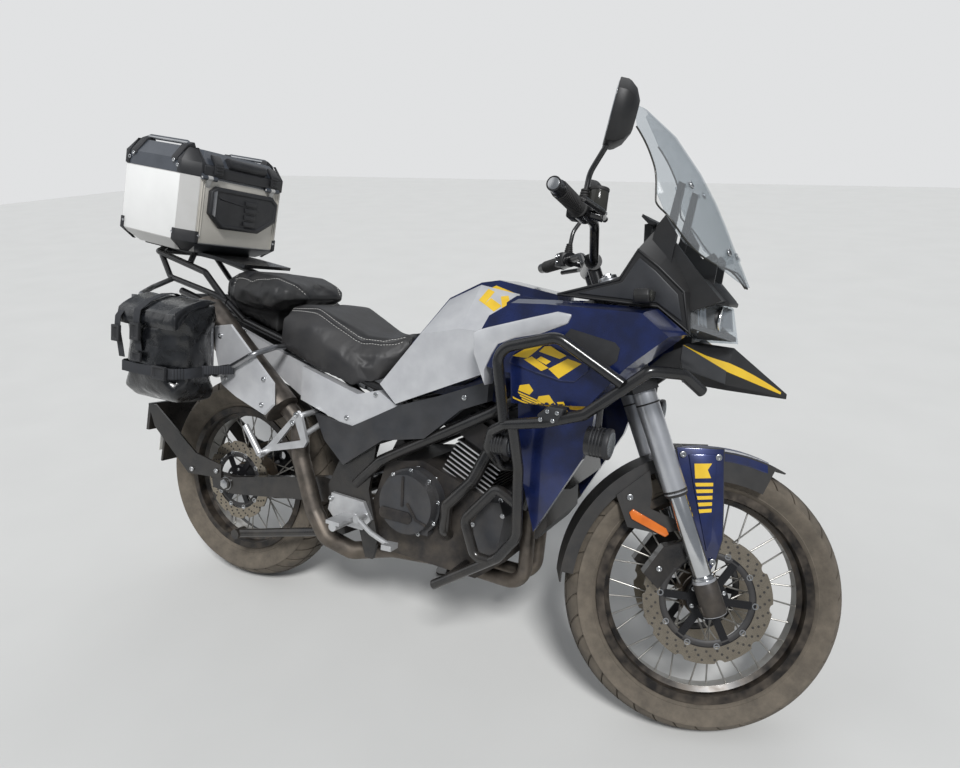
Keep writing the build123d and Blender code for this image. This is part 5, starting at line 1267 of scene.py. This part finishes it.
outerEnd, footStart, footEnd = [forkPart[key] for key in ("outerEnd", "footStart", "footEnd")]
chrome, collars, feet, seals = [], [], [], []
for side in (-1, 1):
    chrome.append(legDrum("stanchion", side, outerEnd, footStart, 21, 0.4))
    seals.append(legDrum("dustSeal", side, outerEnd - 6, outerEnd + 7, 27.6, 2, taper=0.9))
    collars.append(legDrum("collar", side, footStart - 8, footStart + 5, 25, 1.5))
    feet.append(legDrum("foot", side, footStart + 4, footEnd + 1, 27.9, 4))
    feet.append(crossDrum("footBoss", wheelbase, frontRadius, side * 78, side * 118, 24, 3))
    feet.append(sideForm("pinchLug", [(1392, 318), (1404, 300), (1448, 302), (1452, 314), (1440, 330), (1404, 330)],
                         side * 88, side * 116, 4))
    collars.append(crossDrum("axleWasher", wheelbase, frontRadius, side * 118, side * 121, 19, 0.8))
    collars.append(crossDrum("axleNut", wheelbase, frontRadius, side * 120, side * 128, 16, 1.2, 6))
    collars.append(legDrum("forkCap", side, -9, 3, 22, 2))
    collars.append(legDrum("adjuster", side, -15, -8, 12, 1, 6))
    for reach in (508, 300, 60):
        seals.append(legDrum("ring", side, reach - 2, reach + 2, 27.4, 0.5))
settleAll(fork, "steering", (("forkStanchions", chrome, "fork_silver", "hardChrome"),
                             ("forkCollars", collars, "fork_silver", "zincPlatedSteel"),
                             ("forkFeet", feet, "fork_silver", "paintedCrankcase"),
                             ("forkSeals", seals, "fork_silver", "blackEpdm")))

# Front mudguard: painted hood, painted fork guards with yellow stripes, reflectors and bolts
guard = {"inner": 343, "half": 69, "wall": 2.5, "sections": range(70, 113, 4),
         "plate": (79, 83), "ridge": (82, 87), "film": (87.3, 87.8)}
hoodRings = []
for degrees in guard["sections"]:
    narrow = 1.0 if degrees > 72 else 0.94
    outside, inside = [], []
    for across, lift in ((-1.0, -16), (-0.98, 0), (-0.9, 5), (-0.5, 7), (-0.12, 9), (0, 12), (0.12, 9), (0.5, 7),
                         (0.9, 5), (0.98, 0), (1.0, -16)):
        y = across * guard["half"] * narrow
        outside.append(onWheel(frontCentre, guard["inner"] + lift, degrees, y))
        inside.append(onWheel(frontCentre, guard["inner"] + lift - guard["wall"], degrees, y * 0.975))
    hoodRings.append(outside + inside[::-1])
settle(loftRings("mudguardHood", hoodRings), fork, "steering", finish["navyLacquer"])

plateOutline = [(1302, 672), (1410, 682), (1425, 557), (1433, 474), (1425, 430), (1413, 396),
                (1400, 396), (1322, 600)]
ridgeOutline = [(1330, 660), (1396, 668), (1404, 560), (1408, 470), (1400, 440), (1350, 590)]
plates = onSides("guardPlate", plateOutline, guard["plate"], 1.6)
ridges = onSides("guardRidge", ridgeOutline, guard["ridge"], 3)
flagOutline = [(1346, 640), (1386, 646), (1378, 630), (1388, 612), (1352, 606)]
blocks = onSides("flagBlock", flagOutline, guard["film"])
for k in range(5):
    z = 596 - 15 * k
    blocks += onSides("stripe", [(1353 + 4 * k, z), (1394 + k, z + 6), (1395 + k, z - 2), (1356 + 4 * k, z - 8)],
                      guard["film"])
reflectors = onSides("reflector", [(1214, 504), (1222, 514), (1304, 480), (1312, 467), (1304, 459), (1222, 490)],
                     (70, 77), 2, 3)
settleAll(fork, "steering", (("forkGuards", plates + ridges, "dark_plastic", "navyLacquer"),
                             ("forkGuardStripes", blocks, "dark_plastic", "yellowVinyl"),
                             ("frontReflectors", reflectors, "dark_plastic", "amberAcrylic")))
guardBolts = [((x, side * guard["plate"][1], z), (0, side, 0))
              for side in (-1, 1) for x, z in ((1318, 658), (1400, 662), (1416, 420))]
guardBolts += boltsOn("front_mudguard", ((1262, 600), (1345, 460), (1212, 540)), fork)
settle(screws("mudguardBolts", guardBolts, 8, 5), fork, "steering", finish["zincPlatedSteel"])
caliperBolts = boltsOn("front_calipers", ((1278, 412), (1266, 350), (1296, 388), (1256, 384)), fork)
settle(screws("caliperBolts", caliperBolts, 7, 5), fork, "steering", finish["zincPlatedSteel"])
print("front assembly done")

# Nose: reflector and fins inside the lamp, visor, cowl facets, signals, the screen's bolts and edges, and the beak's
# stripes and wings
settle(joined("lampReflector", [
    loftRings("lampBack", [[(1336 - lean, y, 936 + lean * 0.7), (1346 - lean, y, 936 + lean * 0.7),
                            (1344 - lean, y, 1030), (1334 - lean, y, 1030)]
                           for y, lean in ((-122, 32), (0, 0), (122, 32))]),
    loftRings("lampFloor", [[(1338 - lean, y, 936 + lean * 0.8), (1418 - lean * 2.4, y, 940 + lean * 0.8),
                             (1417 - lean * 2.4, y, 950 + lean * 0.8), (1338 - lean, y, 944 + lean * 0.8)]
                            for y, lean in ((-122, 32), (0, 0), (122, 32))]),
    drum("leftProjector", (1340, 44, 990), (1382, 40, 986), 28, 5, taper=0.9),
    drum("rightProjector", (1340, -44, 990), (1382, -40, 986), 28, 5, taper=0.9)]),
    bike, "chassis", finish["filledNylon"])
lampFins = []
for side in (-1, 1):
    for y in (6, 78, 88, 98, 108):
        reach = 1402 - abs(y) * 0.62
        lampFins.append(sideForm("fin", [(1340, 1026), (reach, 1012), (reach + 10, 962), (1346, 956)],
                                 side * y, side * (y + 2.5), 0.8))
    lampFins.append(drum("lampRim", (1380, side * 41, 986), (1386, side * 41, 986), 30, 2))
settle(joined("lampFins", lampFins), bike, "chassis", finish["hardChrome"])

noseRings = []
for y, back in ((-126, 44), (-62, 6), (0, 0), (62, 6), (126, 44)):
    noseRings.append([(1311 - back * 0.3, y, 1050), (1350 - back, y, 1036), (1396 - back * 1.6, y, 1023),
                      (1410 - back * 1.9, y, 1016 + back * 0.3), (1412 - back * 1.9, y, 1025 + back * 0.3),
                      (1366 - back, y, 1068)])
settle(loftRings("noseVisor", noseRings, 2), bike, "chassis", finish["mouldedPolypropylene"])

cowlBorder = [(1040, 1011), (1178, 1056), (1212, 1122), (1260, 1090), (1319, 1042), (1339, 960), (1270, 1006)]
cowlFacet = [(1088, 1018), (1186, 1050), (1217, 1106), (1256, 1080), (1308, 1036), (1324, 980), (1266, 1014)]
signal = {"x": 1226, "out": 188, "z": 1022,
          "shell": ((0, 0, 14), (0, 44, 18), (4, 52, 2), (2, 40, -14), (0, 2, -12)),
          "lens": ((33, 4, 14), (33, 40, 17), (35, 46, 5), (34, 36, -7), (33, 6, -5))}
facets = onSides("cowlFacet", cowlFacet, (171, 176), 2.5)
borders, signals, signalLenses = [], [], []
for side in (-1, 1):
    borders.append(pipe("cowlBorder", [(x, side * 172, z) for x, z in cowlBorder + cowlBorder[:1]], 3.2, False))
    arm = [(1226, side * 166, 1020), (1230, side * 180, 1022), (1234, side * 194, 1024)]
    signals.append(pipe("signalArm", arm, 9))
    shell, lens = [[(signal["x"] + x, side * (signal["out"] + y), signal["z"] + z) for x, y, z in signal[part]]
                   for part in ("shell", "lens")]
    signals.append(flatForm("signalShell", shell, (34, 0, 4), 5, 3))
    signalLenses.append(flatForm("signalLens", lens, (7, 0, 1), 2.5, 3))
settleAll(bike, "chassis", (("cowlFacets", facets, "dark_plastic", "satinGreyAbs"),
                            ("cowlBorders", borders, "dark_plastic", "mouldedPolypropylene"),
                            ("frontSignals", signals, "dark_plastic", "mouldedPolypropylene"),
                            ("frontSignalLenses", signalLenses, "dark_plastic", "smokedAcrylic")))

screenBolts, screenEdges = [], []
screenEdge = [(1159, 110, 1391), (1182, 115, 1363), (1211, 125, 1311), (1221, 130, 1283), (1227, 138, 1242),
              (1230, 142, 1222), (1262, 148, 1199), (1300, 140, 1152), (1335, 130, 1121), (1372, 90, 1101),
              (1399, 60, 1096), (1423, 20, 1061)]
for side in (-1, 1):
    screenBolts += [((1286, side * 84, 1271), (0.84, side * 0.12, 0.52)),
                    ((1382, side * 66, 1133), (0.88, side * 0.2, 0.42))]
    screenEdges.append(pipe("screenEdge", [(x, side * y, z) for x, y, z in screenEdge], 2.0, True))
settle(screws("screenBolts", screenBolts, 9, 6), bike, "chassis", finish["zincPlatedSteel"])
settle(joined("screenEdges", screenEdges), bike, "chassis", finish["smokedAcrylic"])

# the beak's top runs between three sections: x, half width, edge height, middle height
beakSections = ((1326, 150, 930, 929), (1416, 84, 880, 926), (1540, 7, 834, 838))


def beakTop(x, share):
    # a point on the beak's top, share 1 at its edge and 0 in the middle: y, z
    first, last = beakSections[:2] if x <= beakSections[1][0] else beakSections[1:]
    along = (x - first[0]) / (last[0] - first[0])
    half, edge, middle = [a + (b - a) * along for a, b in zip(first[1:], last[1:])]
    return half * share, middle + (edge - middle) * share


beakStripes = []
for side in (-1, 1):
    stripeRings = []
    for x, inner in ((1329, 0.97), (1350, 0.92), (1372, 0.86), (1394, 0.76), (1416, 0.68), (1443, 0.62),
                     (1470, 0.58), (1500, 0.56), (1528, 0.7)):
        ring = []
        for share, rise in ((1.005, -1), (1.005, 1), (inner, 1), (inner, -1)):
            y, z = beakTop(x, share)
            ring.append((x, side * y, z + rise))
        stripeRings.append(ring)
    beakStripes.append(loftRings("beakStripe", stripeRings))
settle(joined("beakStripes", beakStripes), bike, "chassis", finish["yellowVinyl"])
beakWings = []
for side in (-1, 1):
    beakWings.append(flatForm("beakWing", [(1328, side * 150, 930), (1328, side * 152, 900), (1328, side * 124, 876),
                                           (1416, side * 76, 850), (1416, side * 86, 880)], (0, side * 3, 0), 1))
settle(joined("beakWings", beakWings), bike, "chassis", finish["satinGreyAbs"])
print("nose done")

# Handlebar: grip ribs, switch boxes and buttons, lever pivots, bar ends, mirror boots and the fluid cup
bar = {"end": (945, 400, 1147), "run": (0.382, -0.924, -0.0045), "perch": 153}


def onBar(side, reach, offset=(0, 0, 0)):
    # a point on the bar, reach inwards from its end, moved by offset
    point = Vector(bar["end"]) + Vector(bar["run"]) * reach
    return Vector((point.x, side * point.y, point.z)) + Vector(offset)


gripRings, boots, silverBits, switches = [], [], [], []
for side in (-1, 1):
    for k in range(14):
        gripRings.append(drum("gripRib", onBar(side, 8 + 8 * k), onBar(side, 12.5 + 8 * k), 18.2, 0.9, 24))
    gripRings.append(drum("gripFlange", onBar(side, 118), onBar(side, 124), 22, 1.5))
    corners = [onBar(side, reach, (-8, 0, z)) for reach, z in ((134, -20), (172, -20), (172, 20), (134, 20))]
    switches.append(flatForm("switchBox", corners, (-20, 0, 0), 4))
    for reach, z in ((142, 9), (158, 9), (150, -8)):
        silverBits.append(drum("button", onBar(side, reach, (-26, 0, z)), onBar(side, reach, (-32, 0, z)),
                               5.5, 1, 16))
    silverBits.append(drum("barEndCap", onBar(side, -25), onBar(side, -27), 12, 0.6, 24))
    silverBits.append(drum("pivot", onBar(side, bar["perch"], (46, 0, -1)), onBar(side, bar["perch"], (46, 0, 4)),
                           7, 1, 16))
    for k in range(5):
        foot, top = [onBar(side, bar["perch"], (0, 0, z + 6 * k)) for z in (19, 24)]
        boots.append(drum("bootRib", foot, top, 13 - k, 1.5, 20))
cupAt = onBar(-1, bar["perch"], (30, 0, 0))
boots.append(drum("cupCap", (cupAt.x, cupAt.y, cupAt.z + 46), (cupAt.x, cupAt.y, cupAt.z + 54), 21.5, 2))
settleAll(fork, "steering", (("gripRibs", gripRings, "black_metal", "blackEpdm"),
                             ("mirrorBoots", boots, "black_metal", "blackEpdm"),
                             ("switchBoxes", switches, "black_metal", "mouldedPolypropylene"),
                             ("barHardware", silverBits, "black_metal", "zincPlatedSteel")))
cupWall = drum("fluidCup", (cupAt.x, cupAt.y, cupAt.z + 4), (cupAt.x, cupAt.y, cupAt.z + 46), 20.8, 3)
settle(cupWall, fork, "steering", finish["smokedAcrylic"])

# Mirrors: bent stalks, dished heads and glass; the left head stands further in, to stay near the CAD box
mirror = {"face": ((-34, -6), (-26, 74), (4, 112), (36, 118), (62, 84), (56, 30), (22, -8)), "middle": (14, 55),
          "glass": ((-29, 0), (-21, 70), (5, 106), (34, 111), (56, 81), (50, 32), (20, -2)),
          "shell": ((1.0, -13.6), (1.0, 3), (0.96, 10), (0.8, 24), (0.46, 36)), "splay": {-1: 52, 1: 20},
          "stalk": ((0, 0, -6), (3, 0, 40), (5, 0.05, 64), (16, 0.36, 86), (40, 1.0, 132))}
mirrorLean, mirrorRise = Vector((-0.993, 0, 0.119)), Vector((0.119, 0, 0.993))
glasses, mirrorBacks, stalks = [], [], []
for side in (-1, 1):
    foot = onBar(side, bar["perch"], (0, 0, 19.5))
    out = side * mirror["splay"][side]
    head = foot + Vector((44, out, 116))

    def onHead(u, v, back, scale=1.0):
        # a point u out and v up on the head, back behind its glass, drawn in towards its middle by scale
        midU, midV = mirror["middle"]
        point = head + mirrorLean * back + mirrorRise * (midV + (v - midV) * scale)
        return (point.x, point.y + side * (midU + (u - midU) * scale), point.z)

    mirrorBacks.append(loftRings("mirrorBack", [[onHead(u, v, 8 - reach, scale) for u, v in mirror["face"]]
                                                for scale, reach in mirror["shell"]], 2))
    glasses.append(flatForm("glass", [onHead(u, v, 21.7) for u, v in mirror["glass"]], tuple(mirrorLean * 1.2), 0.4))
    stalks.append(pipe("stalk", [foot + Vector((x, out * share, z)) for x, share, z in mirror["stalk"]], 6))
mirrorHeads = joined("mirrorBacks", mirrorBacks)
settle(mirrorHeads, fork, "steering", finish["mouldedPolypropylene"])
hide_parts("mirrors")
settleAll(fork, "steering", (("mirrorStalks", stalks, "black_metal", "powderCoatedSteel"),
                             ("mirrorGlasses", glasses, "black_metal", "hardChrome")))
print("handlebar done")

# Engine: a raised pad, split and edge on the round covers, screws round all the covers, and painted highlights on the
# fin edges
clutchFace = {"x": 686, "z": 432, "y": 186.6, "ring": 86}
coverFaces = (clutchFace["y"] - 2, clutchFace["y"] + 3)
coverRibs = onSides("coverPad", [(610, 404), (617, 414), (700, 414), (711, 404), (711, 391), (702, 382), (619, 382),
                                 (610, 391)], coverFaces, 2)
coverRibs += onSides("coverSplit", [(672, 506), (679, 506), (683, 426), (675, 426)], coverFaces, 1.5)
coverRibs += onSides("coverEdge", [(690, 436), (722, 396), (754, 388), (755, 394), (726, 402), (696, 440)],
                     coverFaces, 1.5)
rimSpots = []
for k in range(9):
    x, y, z = onWheel((clutchFace["x"], 0, clutchFace["z"]), clutchFace["ring"], 40 * k + 12, 0)
    rimSpots.append((x, z))
rimSpots += [(888, 428), (909, 490), (951, 501), (965, 468), (953, 358), (934, 348), (900, 358)]
coverScrews = boltsOn("engine_covers", rimSpots, bike)
settle(joined("engineCoverRibs", coverRibs), bike, "chassis", finish["paintedCrankcase"])
settle(screws("engineCoverScrews", coverScrews, 6.5, 5), bike, "chassis", finish["zincPlatedSteel"])

# painted highlights: bright strips along the edges of the cylinder's fins, where the fins catch the light
barrel = {"foot": (800, 0, 470), "lean": math.radians(24), "half": 70, "face": 109, "first": 30.4, "pitch": 13}
barrelUp = Vector((math.sin(barrel["lean"]), 0, math.cos(barrel["lean"])))
barrelAhead = Vector((math.cos(barrel["lean"]), 0, -math.sin(barrel["lean"])))
half = barrel["half"]
finEdgeHighlights = []
for side in (-1, 1):
    for k in range(8):
        base = Vector(barrel["foot"]) + barrelUp * (barrel["first"] + barrel["pitch"] * k)
        corners = [base + barrelAhead * along + barrelUp * rise
                   for along, rise in ((-half, 0), (half, 0), (half, 4.2), (-half, 4.2))]
        finEdgeHighlights.append(flatForm("finEdge", [(c.x, side * barrel["face"], c.z) for c in corners],
                                 (0, side * 1.8, 0), 0.5))
settle(joined("cylinderFinEdgeHighlights", finEdgeHighlights), bike, "chassis", finish["blastedCastAluminium"])

# Crash bars: clamp blocks with screws, and the lamps' bodies and faces
barLamps = ((1226, 262, 710, 30), (990, 236, 662, 28))  # x, y, z, radius
clampFaces = (268, 298)
clampBlocks = onSides("clampBlock", [(1066, 752), (1092, 776), (1128, 776), (1116, 740), (1082, 728)], clampFaces, 5)
lampFaces, lampRings, clampScrews = [], [], []
for side in (-1, 1):
    clampScrews += [((x, side * clampFaces[1], z), (0, side, 0))
                    for x, z in ((1078, 744), (1092, 764), (1114, 764), (1106, 746))]
    for x, y, z, radius in barLamps:
        lampFaces.append(drum("lampFace", (x, side * y, z), (x + 4, side * y, z), radius - 3, 1.5))
        lampRings.append(drum("lampRing", (x - 10, side * y, z), (x + 2, side * y, z), radius + 4, 3))
        for k in range(4):
            lampRings.append(drum("lampFin", (x - 18 - 7 * k, side * y, z), (x - 15 - 7 * k, side * y, z),
                                  radius + 3, 0.8))
settle(screws("clampScrews", clampScrews, 5, 4), bike, "chassis", finish["zincPlatedSteel"])
settleAll(bike, "chassis", (("clampBlocks", clampBlocks, "black_metal", "filledNylon"),
                            ("crashBarLampBodies", lampRings, "black_metal", "filledNylon"),
                            ("crashBarLampFaces", lampFaces, "black_metal", "clearLampLens")))
print("engine and bars done")

# Tail: lamp lenses, screws of the plates, hangers and panels, the silencer shield's screws and the axle nuts
tailLens = flatForm("tailLens", [(-290, -58, 888), (-290, 58, 888), (-284, 52, 848), (-284, -52, 848)],
                    (-6, 0, 0), 2.5, 3)
settle(tailLens, bike, "chassis", finish["redAcrylic"])
rearSignals = [drum("rearSignalLens", (-212, side * 178, 846), (-220, side * 178, 846), 17, 3) for side in (-1, 1)]
settle(joined("rearSignalLenses", rearSignals), bike, "chassis", finish["amberAcrylic"])
panelBolts = boltsOn("side_panels", ((824, 736),), bike)
panelBolts += boltsOn("tail_panels", ((470, 624), (560, 702), (66, 812), (296, 668)), bike)
shieldBolts = boltsOn("silencer_shield", ((84, 806), (250, 706), (246, 634), (110, 690)), bike, (-1,))
plateBolts = boltsOn("rear_hugger", ((-143, 347), (-37, 362)), bike)
plateBolts += boltsOn("passenger_footrests", ((333, 615), (322, 590)), bike)
plateBolts += boltsOn("rider_footrests", ((430, 386), (404, 372)), bike)
settle(screws("plateBolts", plateBolts, 8, 6), bike, "chassis", finish["zincPlatedSteel"])
rearNuts = []
for side in (-1, 1):
    rearNuts.append(crossDrum("axleWasher", 0, rearRadius, side * 130, side * 133, 21, 0.8))
    rearNuts.append(crossDrum("axleNut", 0, rearRadius, side * 132, side * 142, 16, 1.5, 6))
settle(joined("rearAxleNuts", rearNuts), bike, "chassis", finish["zincPlatedSteel"])
settle(screws("panelBolts", panelBolts, 7, 4), bike, "chassis", finish["zincPlatedSteel"])
settle(screws("shieldBolts", shieldBolts, 7, 5), bike, "chassis", finish["zincPlatedSteel"])
print("tail done")
